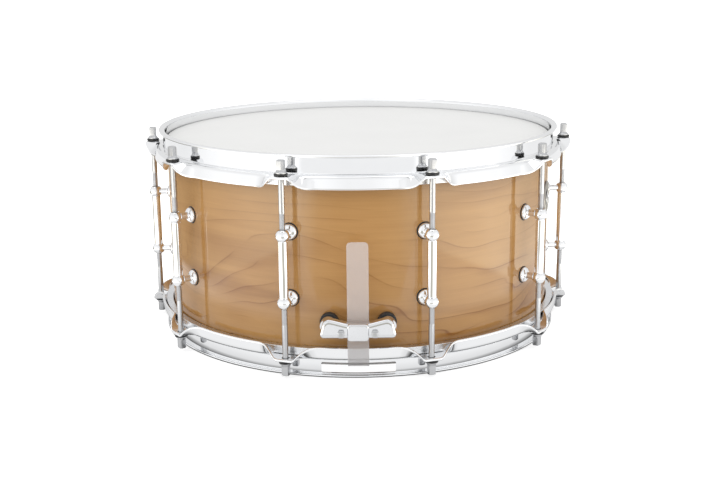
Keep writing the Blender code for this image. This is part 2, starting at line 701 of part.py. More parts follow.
def make_strainer_frame(materials):
    """The fixed part: a base on a gasket, two cheeks, and the pin that the lever turns on."""
    low, high = STRAINER_HEIGHTS
    back, front = STRAINER_BASE
    outer = CHANNEL_HALF_WIDTH + CHEEK_THICKNESS
    base = box((-outer, back, low), (outer, front, high))
    outline = [(front - OVERLAP, low), *CHEEK_OUTLINE, (front - OVERLAP, high)]
    cheek = side_prism(outline, CHEEK_THICKNESS / 2)
    shift = CHANNEL_HALF_WIDTH + CHEEK_THICKNESS / 2
    cheeks = [
        loft("cheek", moved(cheek, Matrix.Translation((x, 0, 0)))) for x in (-shift, shift)
    ]
    bore = moved(
        turned([(PIN_BORE_RADIUS, -outer - MM), (PIN_BORE_RADIUS, outer + MM)], ROUND_SIDES),
        Matrix.Translation((0, PIN_REACH, PIN_HEIGHT)) @ Matrix.Rotation(math.pi / 2, 4, "Y"),
    )
    mesh = applied("strainer_body", loft("base", base), unions=cheeks, cuts=[loft("bore", bore)])
    place("strainer_body", mesh, materials["chrome"])
    gasket_back = SHELL_RADIUS + GAP
    gasket = box((-outer, gasket_back, low - MM), (outer, back - GAP, high + MM))
    place("strainer_gasket", loft("strainer_gasket", gasket), materials["rubber"])
    pin = turned([(PIN_RADIUS, -outer - GAP), (PIN_RADIUS, outer + GAP)], ROUND_SIDES)
    across = (0, math.pi / 2, 0)
    at = (0, PIN_REACH, PIN_HEIGHT)
    place("lever_pin", loft("lever_pin", pin), materials["steel"], at, across)


def make_lever(materials):
    """The throw lever, whose origin is on its pin: a bored hub and a paddle that stands up."""
    hub_rings = turned([(HUB_RADIUS, -HUB_HALF_WIDTH), (HUB_RADIUS, HUB_HALF_WIDTH)], ROUND_SIDES)
    hub = moved(hub_rings, Matrix.Rotation(math.pi / 2, 4, "Y"))
    paddle = side_prism(PADDLE_OUTLINE, LEVER_HALF_WIDTH)
    reach = 2 * HUB_HALF_WIDTH
    bore_rings = turned([(PIN_BORE_RADIUS, -reach), (PIN_BORE_RADIUS, reach)], ROUND_SIDES)
    bore = moved(bore_rings, Matrix.Rotation(math.pi / 2, 4, "Y"))
    mesh = applied(
        "throw_lever", loft("hub", hub), unions=[loft("paddle", paddle)], cuts=[loft("bore", bore)]
    )
    place("throw_lever", mesh, materials["chrome"], (0, PIN_REACH, PIN_HEIGHT))


def make_slides(materials):
    """The carriage that the lever lowers, its tension knob, and the clamp slide that the knob moves."""
    near, far = (reach - KNOB_REACH for reach in SLIDE_REACHES)
    half = CHANNEL_HALF_WIDTH - GAP
    on_axis = (0, KNOB_REACH, 0)
    levels = [(SHAFT_HOLE_RADIUS, height) for height in SHAFT_HOLE_HEIGHTS]
    shaft_hole = moved(turned(levels, SMALL_SIDES), Matrix.Translation(on_axis))
    shaft_cutter = cutter("shaft_hole_cutter", loft("shaft_hole", shaft_hole))
    low, high = CARRIAGE_HEIGHTS
    mesh = loft("carriage", box((-half, near, low), (half, far, high)))
    strap_carriage = place("strap_carriage", mesh, materials["steel"], on_axis)
    boolean(strap_carriage, shaft_cutter)
    low = STRAINER_CLAMP_HEIGHT - SLIDE_HALF_HEIGHT
    high = STRAINER_CLAMP_HEIGHT + SLIDE_HALF_HEIGHT
    mesh = loft("clamp_slide", box((-half, near, low), (half, far + SLIDE_LEDGE, high)))
    clamp_slide = place("clamp_slide", mesh, materials["chrome"], on_axis, parent=strap_carriage)
    boolean(clamp_slide, shaft_cutter)
    low, high = KNOB_HEIGHTS
    knob = turned(
        [
            (KNOB_SHAFT_RADIUS, KNOB_SHAFT_TIP - low),
            (KNOB_SHAFT_RADIUS, 0.0),
            (KNOB_RADIUS, 0.0),
            (KNOB_RADIUS, high - low - KNOB_CHAMFER),
            (KNOB_RADIUS - KNOB_CHAMFER, high - low),
        ],
        ROUND_SIDES,
    )
    mesh = loft("tension_knob", knob)
    at = (0, KNOB_REACH, low)
    place("tension_knob", mesh, materials["chrome"], at, parent=strap_carriage)
    return clamp_slide


def make_strainer_clamp(materials, clamp_slide):
    """The plate and screws that hold the strap on the clamp slide."""
    half = CHANNEL_HALF_WIDTH - GAP
    back = STRAP_REACH + STRAP_THICKNESS / 2 + GAP
    front = back + CLAMP_BAR_THICKNESS
    height = STRAINER_CLAMP_HEIGHT
    low, high = height - CLAMP_PLATE_HALF_HEIGHT, height + CLAMP_PLATE_HALF_HEIGHT
    plate = box((-half, back, low), (half, front, high))
    clamp_plate = place(
        "strainer_clamp_plate", loft("clamp_plate", plate), materials["chrome"], parent=clamp_slide
    )
    near = SLIDE_REACHES[0] + MM
    holes = clamp_holes("strainer_screw_hole_cutter", 1, height, (near, front + MM))
    boolean(clamp_plate, holes)
    boolean(clamp_slide, holes)
    names = ("strainer_clamp_screw_left", "strainer_clamp_screw_right")
    chrome, reaches = materials["chrome"], (front + GAP, near + MM)
    make_clamp_screws(names, 1, height, *reaches, chrome, clamp_slide)
    make_strap("strainer_strap", 1, STRAINER_STRAP_TOP, materials["strap"], clamp_slide)


# Snare wires


def make_snare_wires(materials):
    """Strands soldered to an end plate at each end. The origin is where they hinge at the butt end."""
    low, high = END_PLATE_HEIGHTS
    near, far = END_PLATE_REACHES
    plates = [
        box(
            (-END_PLATE_HALF_WIDTH, min(side * near, side * far), low),
            (END_PLATE_HALF_WIDTH, max(side * near, side * far), high),
        )
        for side in (-1, 1)
    ]
    first = -(STRAND_COUNT - 1) / 2 * STRAND_PITCH
    strands = []
    for i in range(STRAND_COUNT):
        x = first + i * STRAND_PITCH
        low_corner = (x - STRAND_WIDTH / 2, -STRAND_END, STRAND_HEIGHTS[0])
        strands.append(box(low_corner, (x + STRAND_WIDTH / 2, STRAND_END, STRAND_HEIGHTS[1])))
    mesh = applied("snare_wires", loft("plates", *plates), unions=[loft("strands", *strands)])
    pivot = Vector((0, -near, low))
    mesh.transform(Matrix.Translation(-pivot))
    place("snare_wires", mesh, materials["steel"], pivot)


def main():
    clear_scene()
    materials = make_materials()
    make_shell(materials)
    make_heads(materials)
    make_hoops(materials)
    make_lugs(materials)
    make_rods(materials)
    make_badge(materials)
    make_butt(materials)
    make_strainer_frame(materials)
    make_lever(materials)
    clamp_slide = make_slides(materials)
    make_strainer_clamp(materials, clamp_slide)
    make_snare_wires(materials)


main()
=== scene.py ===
"""The finished look of a 14 by 6.5 inch snare drum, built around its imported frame.

Metres, +Z up, the drum standing on its snare-side rim. The butt plate is at -Y and the strainer at +Y.
Angles around the drum are in degrees from -Y towards +X, and a reach is a distance from its axis.
"""

import math
from math import cos, pi, radians, sin

import bmesh
import bpy
from mathutils import Matrix, Vector


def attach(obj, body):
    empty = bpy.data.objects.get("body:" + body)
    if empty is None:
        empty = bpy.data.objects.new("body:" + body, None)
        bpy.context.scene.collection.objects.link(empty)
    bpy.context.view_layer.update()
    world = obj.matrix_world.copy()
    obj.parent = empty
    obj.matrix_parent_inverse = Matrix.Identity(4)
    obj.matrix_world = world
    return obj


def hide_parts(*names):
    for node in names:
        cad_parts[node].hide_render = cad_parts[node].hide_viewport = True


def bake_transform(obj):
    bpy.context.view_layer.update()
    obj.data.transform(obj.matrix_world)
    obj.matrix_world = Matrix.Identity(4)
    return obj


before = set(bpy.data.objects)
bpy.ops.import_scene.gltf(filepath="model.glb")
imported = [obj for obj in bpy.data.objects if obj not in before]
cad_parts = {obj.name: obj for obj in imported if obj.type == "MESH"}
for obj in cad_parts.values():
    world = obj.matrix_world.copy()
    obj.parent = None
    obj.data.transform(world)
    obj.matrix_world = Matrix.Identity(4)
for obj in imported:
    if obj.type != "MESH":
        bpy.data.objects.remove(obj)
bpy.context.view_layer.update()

MM = 0.001
HEIGHT = 183.5 * MM
SHELL_RADIUS = 176.2 * MM
SHELL_WALL = 6.0 * MM
CREST_DEPTH = 9.2 * MM
ROD_CIRCLE = 191.5 * MM
LUG_ANGLES = [18.0 + 36.0 * i for i in range(10)]
LUGS = [(f"{i + 1:02d}", angle) for i, angle in enumerate(LUG_ANGLES)]
BALL_HEIGHTS = (64.3 * MM, 119.8 * MM)
SHEET = 2.3 * MM  # hoop sheet
EAR_DEPTH = 15.5 * MM
HOOP_BORE = 177.1 * MM
FILM = 0.25 * MM
FILM_LIP, FILM_LIP_REACH = -11.2 * MM, 180.3 * MM  # from a bearing edge's crest
STRAP_REACH = 190.0 * MM
STRAP_ROOM = 0.525 * MM  # half of a clamp's gap around the strap
STRAP_BACK, STRAP_FRONT = STRAP_REACH - STRAP_ROOM, STRAP_REACH + STRAP_ROOM
VENT_ANGLE = 72.0
VENT_HEIGHT = 122.0 * MM
BUTT_HEIGHT = 44.5 * MM
SCREW_OFFSET = 13.5 * MM  # of a clamp's screws from its middle
SHELL_SIDES, ROUND_SIDES, SMALL_SIDES = 288, 40, 24


# Mesh helpers


def mesh_of(verts, faces):
    """A mesh whose faces look outwards."""
    mesh = bpy.data.meshes.new("solid")
    mesh.from_pydata(verts, [], faces)
    bm = bmesh.new()
    bm.from_mesh(mesh)
    bmesh.ops.recalc_face_normals(bm, faces=bm.faces[:])
    bm.to_mesh(mesh)
    bm.free()
    return mesh


def loft(*solids, closed=False):
    """Solids skinned over rings of points. Open ends are capped, and a closed row joins up."""
    verts, faces = [], []
    for rings in solids:
        base, count = len(verts), len(rings[0])
        for ring in rings:
            verts.extend(ring)
        for i in range(len(rings) if closed else len(rings) - 1):
            a, b = base + i * count, base + (i + 1) % len(rings) * count
            for k in range(count):
                n = (k + 1) % count
                faces.append((a + k, a + n, b + n, b + k))
        if not closed:
            faces.append(tuple(range(base, base + count)))
            faces.append(tuple(range(base + (len(rings) - 1) * count, len(verts))))
    return mesh_of(verts, faces)


def circle(radius, height, segments):
    turn = 2 * pi / segments
    return [Vector((radius * cos(k * turn), radius * sin(k * turn), height)) for k in range(segments)]


def turned(profile, segments):
    """Rings of a solid whose (radius, height) profile is turned about Z."""
    return [circle(r, z, segments) for r, z in profile]


def arc(cx, cy, radius, first, last, steps):
    """Points on an arc between two angles in degrees, both ends included."""
    angles = [radians(first + (last - first) * i / steps) for i in range(steps + 1)]
    return [(cx + radius * cos(a), cy + radius * sin(a)) for a in angles]


def rounded(corners, radius, steps=5):
    """A closed outline with every corner rounded."""
    points = []
    count = len(corners)
    for i, corner in enumerate(corners):
        p = Vector(corner)
        before, after = Vector(corners[i - 1]) - p, Vector(corners[(i + 1) % count]) - p
        reach = min(radius, before.length * 0.45, after.length * 0.45)
        a, b = p + before.normalized() * reach, p + after.normalized() * reach
        for k in range(steps + 1):
            t = k / steps
            points.append((1 - t) ** 2 * a + 2 * t * (1 - t) * p + t * t * b)
    return points


def four_corners(left, right, low, high):
    return [(left, low), (right, low), (right, high), (left, high)]


def rectangle(half, low, high, radius, steps):
    """A rounded rectangle's outline, centred on 0 across."""
    return rounded(four_corners(-half, half, low, high), radius, steps)


def moved(rings, matrix):
    return [[matrix @ Vector(p) for p in ring] for ring in rings]


def prism(outline, low, high):
    """Rings of a plate: an (x, z) outline extruded along Y."""
    return [[Vector((p[0], y, p[1])) for p in outline] for y in (low, high)]


def outward(reach, height, side=-1):
    """Carries a shape turned about Z to one that points out of the drum at -Y, or +Y for side 1."""
    tilt = Matrix.Rotation(-side * pi / 2, 4, "X")
    return Matrix.Translation((0.0, side * reach, height)) @ tilt


def turn_z(degrees):
    return Matrix.Rotation(radians(degrees), 4, "Z")


def at_angle(degrees, reach, height=0.0):
    a = radians(degrees)
    return Vector((reach * sin(a), -reach * cos(a), height))


def add_object(name, data):
    obj = bpy.data.objects.new(name, data)
    bpy.context.scene.collection.objects.link(obj)
    return obj


def place(name, mesh, material, replaces=(), location=(0, 0, 0), rotation=(0, 0, 0), body="drum"):
    """A piece that rides on a body."""
    obj = add_object(name, mesh)
    if not mesh.materials:
        mesh.name = name
        mesh.materials.append(materials[material])
    obj.location = location
    obj.rotation_euler = rotation
    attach(obj, body)
    if replaces:
        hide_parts(*replaces)
    obj.modifiers.new("Normals", "WEIGHTED_NORMAL").keep_sharp = True
    return obj


def smooth(mesh, degrees=35.0):
    mesh.shade_smooth()
    mesh.set_sharp_from_angle(angle=radians(degrees))
    return mesh


def bevelled(obj, width, segments=3, degrees=35.0):
    """Rounds the piece's edges."""
    obj.data.shade_smooth()
    obj.modifiers["Normals"].keep_sharp = False
    bevel = obj.modifiers.new("Bevel", "BEVEL")
    obj.modifiers.move(1, 0)
    bevel.width = width
    bevel.segments = segments
    bevel.limit_method = "ANGLE"
    bevel.angle_limit = radians(degrees)
    bevel.use_clamp_overlap = True
    return obj


def combined(mesh, unions=(), cuts=()):
    """The mesh with other meshes joined to it and cut from it."""
    base = add_object("base", mesh)
    made = [base]
    for parts, operation in ((unions, "UNION"), (cuts, "DIFFERENCE")):
        for part in parts:
            modifier = base.modifiers.new("cut", "BOOLEAN")
            modifier.operation = operation
            modifier.solver = "EXACT"
            modifier.object = add_object("tool", part)
            made.append(modifier.object)
    bpy.context.view_layer.update()
    graph = bpy.context.evaluated_depsgraph_get()
    result = bpy.data.meshes.new_from_object(base.evaluated_get(graph))
    for obj in made:
        bpy.data.objects.remove(obj)
    return result


# Materials


class Graph:
    """A material's nodes, made in one line each."""

    def __init__(self, name):
        self.material = bpy.data.materials.new(name)
        self.material.use_nodes = True
        self.tree = self.material.node_tree
        self.shader = self.tree.nodes["Principled BSDF"]

    @classmethod
    def of(cls, tree):
        """A graph that adds to a node tree made elsewhere, such as the world's."""
        made = cls.__new__(cls)
        made.tree = tree
        return made

    def add(self, kind, inputs=None, **settings):
        node = self.tree.nodes.new("ShaderNode" + kind)
        for key, value in settings.items():
            setattr(node, key, value)
        for key, value in (inputs or {}).items():
            self.feed(node.inputs[key], value)
        return node

    def feed(self, socket, value):
        if isinstance(value, bpy.types.NodeSocket):
            self.tree.links.new(value, socket)
        else:
            socket.default_value = value

    def maths(self, operation, *values):
        node = self.add("Math", operation=operation)
        for i, value in enumerate(values):
            self.feed(node.inputs[i], value)
        return node.outputs[0]

    def times(self, a, b):
        return self.maths("MULTIPLY", a, b)

    def noise(self, vector, detail=2.0, roughness=0.5, distortion=0.0):
        inputs = {"Vector": vector, "Scale": 1.0, "Detail": detail, "Roughness": roughness}
        return self.add("TexNoise", {**inputs, "Distortion": distortion}).outputs["Fac"]

    def scaled(self, vector, scale, location=(0, 0, 0)):
        scale = (scale,) * 3 if isinstance(scale, float) else scale
        return self.add("Mapping", {"Vector": vector, "Scale": scale, "Location": location}).outputs[0]

    def ramp(self, value, *stops):
        """A smooth colour ramp of (position, colour) pairs. A colour may be one number."""
        node = self.add("ValToRGB", {"Fac": value})
        elements = node.color_ramp.elements
        while len(elements) < len(stops):
            elements.new(0.5)
        for element, (position, colour) in zip(elements, stops):
            element.position = position
            colour = (colour,) * 3 if isinstance(colour, float) else colour
            element.color = (*colour, 1.0)
        return node.outputs["Color"]

    def spread(self, value, low, high):
        """The value, from 0 to 1, carried to between low and high."""
        return self.add("MapRange", {"Value": value, "To Min": low, "To Max": high}).outputs[0]

    def spread_from(self, value, low, high):
        """The value, from between low and high, carried to 0 to 1."""
        return self.add("MapRange", {"Value": value, "From Min": low, "From Max": high}).outputs[0]

    def mix(self, factor, a, b, blend="MIX"):
        node = self.add("Mix", data_type="RGBA", blend_type=blend)
        for socket, value in ((node.inputs[0], factor), (node.inputs[6], a), (node.inputs[7], b)):
            self.feed(socket, (*value, 1.0) if isinstance(value, tuple) else value)
        return node.outputs[2]

    def bump(self, height, distance, strength):
        inputs = {"Height": height, "Distance": distance, "Strength": strength}
        return self.add("Bump", inputs).outputs[0]

    def parts(self, vector):
        return self.add("SeparateXYZ", {"Vector": vector}).outputs

    def position(self):
        return self.add("TexCoord").outputs["Object"]

    def finish(self, **inputs):
        for key, value in inputs.items():
            value = (*value, 1.0) if isinstance(value, tuple) else value
            self.feed(self.shader.inputs[key.replace("_", " ")], value)
        return self.material


def figured(g, grain, light, dark, streak):
    """Plain-sliced maple: growth lines, fibres and cloudy patches along the grain's first axis."""
    field = g.noise(g.scaled(grain, (3.4, 9.0, 1.0), (3.1, 0.7, 0.0)), 2.5, 0.5, 0.4)
    across = g.parts(grain)["Y"]
    level = g.maths("ADD", g.times(field, 10.5), g.times(across, 64.0))
    growth = g.maths("FRACT", level)
    line = g.ramp(growth, (0.0, 0.12), (0.06, 0.0), (0.7, 0.06), (0.92, 0.34), (0.97, 1.0), (1.0, 0.12))
    fibre = g.noise(g.scaled(grain, (26.0, 1500.0, 1.0)), 3.0, 0.6)
    broad = g.noise(g.scaled(grain, (7.0, 210.0, 1.0), (1.7, 0.2, 0.0)), 3.0, 0.6)
    cloud = g.noise(g.scaled(grain, (9.0, 15.0, 1.0), (0.4, 5.3, 0.0)), 2.0)
    fade = g.noise(g.scaled(grain, (11.0, 34.0, 1.0), (8.1, 2.2, 0.0)), 1.0)
    line = g.times(line, g.ramp(fade, (0.40, 0.06), (0.58, 1.0)))
    line = g.times(line, g.ramp(g.spread_from(across, 0.05, 0.15), (0.0, 1.0), (1.0, 0.35)))
    smoke = g.noise(g.scaled(grain, (4.5, 26.0, 1.0), (5.2, 1.1, 0.0)), 2.0, 0.5, 0.5)
    shade = g.times(line, streak)
    for layer in (
        g.spread(fibre, -0.09, 0.17), g.spread(broad, -0.14, 0.22), g.spread(cloud, -0.36, 0.5),
        g.times(g.ramp(smoke, (0.5, 0.0), (0.66, 1.0)), 0.42),
    ):
        shade = g.maths("ADD", shade, layer)
    return g.mix(g.add("Clamp", {"Value": shade}).outputs[0], light, dark), fibre


def make_materials():
    """The finishes, by name."""
    made = {}
    light, dark = (0.64, 0.348, 0.124), (0.35, 0.147, 0.040)

    g = Graph("maple_lacquer")
    grain = g.add("UVMap", uv_map="grain").outputs[0]
    colour, fibre = figured(g, grain, light, dark, 0.9)
    made["maple"] = g.finish(
        Base_Color=colour, Roughness=g.spread(fibre, 0.42, 0.56), Normal=g.bump(fibre, 0.00003, 0.3),
        Specular_IOR_Level=0.0, Coat_Weight=1.0, Coat_Roughness=0.025, Coat_IOR=1.52,
    )

    g = Graph("maple_inside")
    grain = g.add("UVMap", uv_map="grain").outputs[0]
    grain = g.scaled(grain, (1.0, 1.0, 1.0), (0.4, 0.3, 0.0))
    colour, fibre = figured(g, grain, (0.66, 0.43, 0.22), (0.45, 0.25, 0.10), 0.35)
    made["maple_inside"] = g.finish(
        Base_Color=colour, Roughness=g.spread(fibre, 0.5, 0.7), Normal=g.bump(fibre, 0.00004, 0.5)
    )

    g = Graph("maple_plies")
    parts = g.parts(g.position())
    square = g.maths("MULTIPLY_ADD", parts["Y"], parts["Y"], g.times(parts["X"], parts["X"]))
    ply = g.maths("FRACT", g.times(g.maths("SQRT", square), 1000.0))
    end_grain = g.noise(g.scaled(g.position(), 900.0), 2.0)
    plies = g.ramp(ply, (0.0, (0.30, 0.15, 0.05)), (0.1, (0.62, 0.40, 0.20)), (0.9, (0.55, 0.34, 0.16)))
    made["maple_plies"] = g.finish(
        Base_Color=g.mix(g.spread(end_grain, 0.0, 0.5), plies, (0.40, 0.22, 0.09)),
        Roughness=0.5, Normal=g.bump(end_grain, 0.00005, 0.4),
    )

    def metal(name, base, worn, low, high, scale=300.0, depth=0.000004, strength=0.1):
        g = Graph(name)
        fine = g.noise(g.scaled(g.position(), scale), 3.0, 0.6)
        smear = g.noise(g.scaled(g.position(), 45.0), 2.0)
        made[name] = g.finish(
            Base_Color=g.mix(smear, base, worn), Metallic=1.0,
            Roughness=g.spread(g.times(fine, smear), low, high), Normal=g.bump(fine, depth, strength),
        )

    metal("chrome", (0.93, 0.935, 0.945), (0.88, 0.89, 0.905), 0.02, 0.09)
    metal("casting", (0.80, 0.805, 0.82), (0.70, 0.71, 0.725), 0.05, 0.18)
    metal("plated", (0.62, 0.625, 0.635), (0.52, 0.525, 0.535), 0.28, 0.4)
    metal("steel", (0.62, 0.62, 0.63), (0.50, 0.50, 0.51), 0.18, 0.42, (700.0, 700.0, 90.0), 0.00002, 0.2)
    metal("wire", (0.78, 0.77, 0.74), (0.6, 0.59, 0.56), 0.15, 0.35, 400.0, 0.00001, 0.2)
    metal("alloy", (0.80, 0.81, 0.82), (0.70, 0.71, 0.73), 0.22, 0.42, (60.0, 60.0, 1800.0), 0.00001, 0.2)
    metal("badge", (0.46, 0.445, 0.42), (0.36, 0.345, 0.32), 0.3, 0.55, (40.0, 40.0, 2600.0), 0.00002, 0.4)

    def soft(name, base, tint, low, high, scale, depth, strength, **more):
        g = Graph(name)
        fine = g.noise(g.scaled(g.position(), scale), 3.0, 0.6)
        broad = g.noise(g.scaled(g.position(), 16.0), 3.0)
        made[name] = g.finish(
            Base_Color=g.mix(g.times(fine, broad), base, tint),
            Roughness=g.spread(fine, low, high), Normal=g.bump(fine, depth, strength), **more,
        )

    soft("coated", (0.82, 0.82, 0.81), (0.72, 0.72, 0.71), 0.5, 0.8, 1700.0, 0.00006, 0.5)
    soft("clear", (0.88, 0.89, 0.9), (0.78, 0.79, 0.8), 0.12, 0.3, 300.0, 0.00001, 0.3, Alpha=0.42)
    soft("strap", (0.96, 0.93, 0.925), (0.93, 0.89, 0.885), 0.28, 0.42, 500.0, 0.00001, 0.4, Alpha=0.33)
    soft("rubber", (0.022, 0.022, 0.023), (0.05, 0.05, 0.05), 0.45, 0.7, 1100.0, 0.00006, 0.5)
    soft("nylon", (0.012, 0.012, 0.013), (0.03, 0.03, 0.03), 0.28, 0.45, 900.0, 0.00002, 0.4)
    return made


# Shell and heads


def make_shell():
    """A plywood tube with 45 degree bearing edges, its outer corners just rounded."""
    corner = 1.0 * MM
    crest = SHELL_RADIUS - corner
    inner = SHELL_RADIUS - SHELL_WALL
    slope = crest - inner
    low, high = CREST_DEPTH, HEIGHT - CREST_DEPTH
    profile = arc(crest, low + corner, corner, -90, 0, 5) + arc(crest, high - corner, corner, 0, 90, 5)
    profile += [(crest - 0.6 * MM, high - 0.1 * MM), (inner, high - slope)]
    profile += [(inner, low + slope), (crest - 0.6 * MM, low + 0.1 * MM)]
    mesh = loft(turned(profile, SHELL_SIDES), closed=True)
    vent = 5.3 * MM
    hole = turned([(vent, -10 * MM), (vent, 10 * MM)], 32)
    carry = turn_z(VENT_ANGLE) @ outward(SHELL_RADIUS, VENT_HEIGHT)
    mesh = combined(mesh, cuts=[loft(moved(hole, carry))])
    mesh.materials.clear()
    for name in ("maple", "maple_inside", "maple_plies"):
        mesh.materials.append(materials[name])
    uv = mesh.uv_layers.new(name="grain")
    for face in mesh.polygons:
        centre = face.center
        reach = math.hypot(centre.x, centre.y)
        middle = math.atan2(centre.x, -centre.y)
        if low + slope <= centre.z <= high - slope and reach < inner + 0.5 * MM:
            face.material_index = 1
        elif not (low + 0.9 * MM < centre.z < high - 0.9 * MM and reach > crest):
            face.material_index = 2
        for loop in face.loop_indices:
            co = mesh.vertices[mesh.loops[loop].vertex_index].co
            angle = math.atan2(co.x, -co.y)
            angle -= 2 * pi * round((angle - middle) / (2 * pi))
            uv.data[loop].uv = (angle * SHELL_RADIUS, co.z)
    place("shell_wood", smooth(mesh, 30), "maple", ["shell"])


def film_mesh():
    """A head's film, flat, bent over the bearing edge and turned out to a lip. Z = 0 is the crest."""
    drop, bend = 176.4 * MM, 1.6 * MM
    outer = drop + FILM
    top = 0.3 * MM + FILM
    rings = (1.0 * MM, 60 * MM, 120 * MM, 165 * MM)
    outside = [(r, top) for r in rings] + arc(outer - bend, top - bend, bend, 90, 0, 8)
    outside += [(outer, -6.0 * MM), (outer, FILM_LIP), (FILM_LIP_REACH, FILM_LIP)]
    inside = [(FILM_LIP_REACH, FILM_LIP - 0.3 * MM), (drop, FILM_LIP - 0.3 * MM), (drop, -6.0 * MM)]
    inside += arc(outer - bend, top - bend, bend - FILM, 0, 90, 8)
    inside += [(r, top - FILM) for r in reversed(rings)]
    return smooth(loft(turned(outside + inside, SHELL_SIDES)), 60)


def flesh_ring_mesh():
    """The hoop that holds a film's lip in a slot, seen from the bearing edge's crest."""
    inner, outer, slot = HOOP_BORE, 183.4 * MM, 180.8 * MM
    high = CREST_DEPTH - EAR_DEPTH - SHEET - 0.3 * MM
    low = high - 6.6 * MM
    slot_low, slot_high = FILM_LIP - 0.8 * MM, FILM_LIP + 0.5 * MM
    corners = [(inner, high), (outer, high), (outer, low), (inner, low)]
    corners += [(inner, slot_low), (slot, slot_low), (slot, slot_high), (inner, slot_high)]
    section = rounded(corners, 0.5 * MM, 3)
    return smooth(loft(turned(section, SHELL_SIDES), closed=True))


def make_heads():
    """Films that bend over the bearing edges, and the metal hoops that grip them."""
    film, ring = film_mesh(), flesh_ring_mesh()
    for side, film_name, slot, height, turn in (
        ("batter", "coated", "coated_head", HEIGHT - CREST_DEPTH, (0, 0, 0)),
        ("snare", "clear", "clear_head", CREST_DEPTH, (pi, 0, 0)),
    ):
        at = (0, 0, height)
        node = side + "_head_film"
        place(side + "_film", film.copy(), film_name, [node], at, turn)
        node = side + "_flesh_hoop"
        place(side + "_ring", ring, "alloy", [node], at, turn)


# Hoops

EAR_FLAT, EAR_END = 2.3, 8.2  # degrees from a lug


def ear_share(offset):
    """1 on the flat ear, 0 on the skirt, for degrees from the lug."""
    return min(1.0, max(0.0, (EAR_END - abs(offset)) / (EAR_END - EAR_FLAT))) ** 1.4


def quarter_bend(centre, bend, first):
    """A path's points, each with its direction of travel, around a quarter circle."""
    angles = [radians(first + 15 * i) for i in range(7)]
    return [(centre + bend * Vector((cos(a), sin(a))), Vector((-sin(a), cos(a)))) for a in angles]


def hoop_section(share):
    """(radius, height) points around the sheet, heights below the rim plane."""
    half = SHEET / 2
    wall = HOOP_BORE + half
    swing = radians(8.0 + 82.0 * share)  # from hanging skirt to level ear
    along = Vector((sin(swing), -cos(swing)))
    flange = -EAR_DEPTH - half
    inwards, down = Vector((-1, 0)), Vector((0, -1))
    bend, low_bend, support = 1.5 * MM, 1.9 * MM, 0.4 * MM
    rim = 183.0 * MM - half
    path = [(Vector((x, -half)), inwards) for x in (rim, rim - support, wall + bend + support)]
    path += quarter_bend(Vector((wall + bend, -half - bend)), bend, 90)
    path += [(Vector((wall, z)), down) for z in (-half - bend - support, flange + low_bend + support)]
    path += quarter_bend(Vector((wall + low_bend, flange + low_bend)), low_bend, 180)
    lean = half * math.tan((pi / 2 - swing) / 2)
    corner = Vector((183.9 * MM + lean, flange))
    reach = 2.6 * MM
    start, end = corner - Vector((reach, 0)), corner + reach * along
    for i in range(8):
        t = i / 7
        p = (1 - t) ** 2 * start + 2 * t * (1 - t) * corner + t * t * end
        d = (1 - t) * (corner - start) + t * (end - corner)
        path.append((p, d.normalized()))
    length = (9.4 + 4.2 * share) * MM + lean
    for distance in (reach + support, length - half - support, length - half):
        path.append((corner + distance * along, along))
    left, right = ([p + way * half * Vector((-d.y, d.x)) for p, d in path] for way in (1, -1))

    def cap(point, direction):
        """Points over a round edge, from the left side to the right."""
        n = Vector((-direction.y, direction.x))
        angles = [radians(36 * k) for k in range(1, 5)]
        return [point + half * (cos(a) * n + sin(a) * direction) for a in angles]

    return left + cap(*path[-1]) + right[::-1] + cap(path[0][0], -inwards)


def make_hoops():
    """Triple-flanged hoops with an ear at each lug. The snare-side hoop has two gates for the straps."""
    offsets = [0.5 * i for i in range(-16, 17)] + [9.5 + 1.5 * i for i in range(12)]
    sections = [(offset, hoop_section(ear_share(offset))) for offset in offsets]
    rings = []
    for lug in LUG_ANGLES:
        rings += [[at_angle(lug + offset, p.x, p.y) for p in section] for offset, section in sections]
    mesh = loft(rings, closed=True)
    hole = turned([(3.3 * MM, -EAR_DEPTH - 2 * SHEET), (3.3 * MM, -EAR_DEPTH + SHEET)], SMALL_SIDES)
    holes = [moved(hole, Matrix.Translation(at_angle(a, ROD_CIRCLE))) for a in LUG_ANGLES]
    mesh = combined(mesh, cuts=[loft(*holes)])
    batter = smooth(mesh.copy(), 40)
    place("batter_hoop_chrome", batter, "chrome", ["batter_hoop"], (0, 0, HEIGHT))
    gate_half, gate_low, gate_high = 30.6 * MM, -12 * MM, -2.8 * MM
    outline = rectangle(gate_half, gate_low, gate_high, 1.6 * MM, 8)
    gates = [prism(outline, *sorted((side * 171.0 * MM, side * 182.0 * MM))) for side in (-1, 1)]
    mesh = smooth(combined(mesh, cuts=[loft(*gates)]), 40)
    turn = (pi, 0, 0)
    place("snare_hoop_chrome", mesh, "chrome", ["snare_side_hoop"], rotation=turn)


# Lugs and tension rods


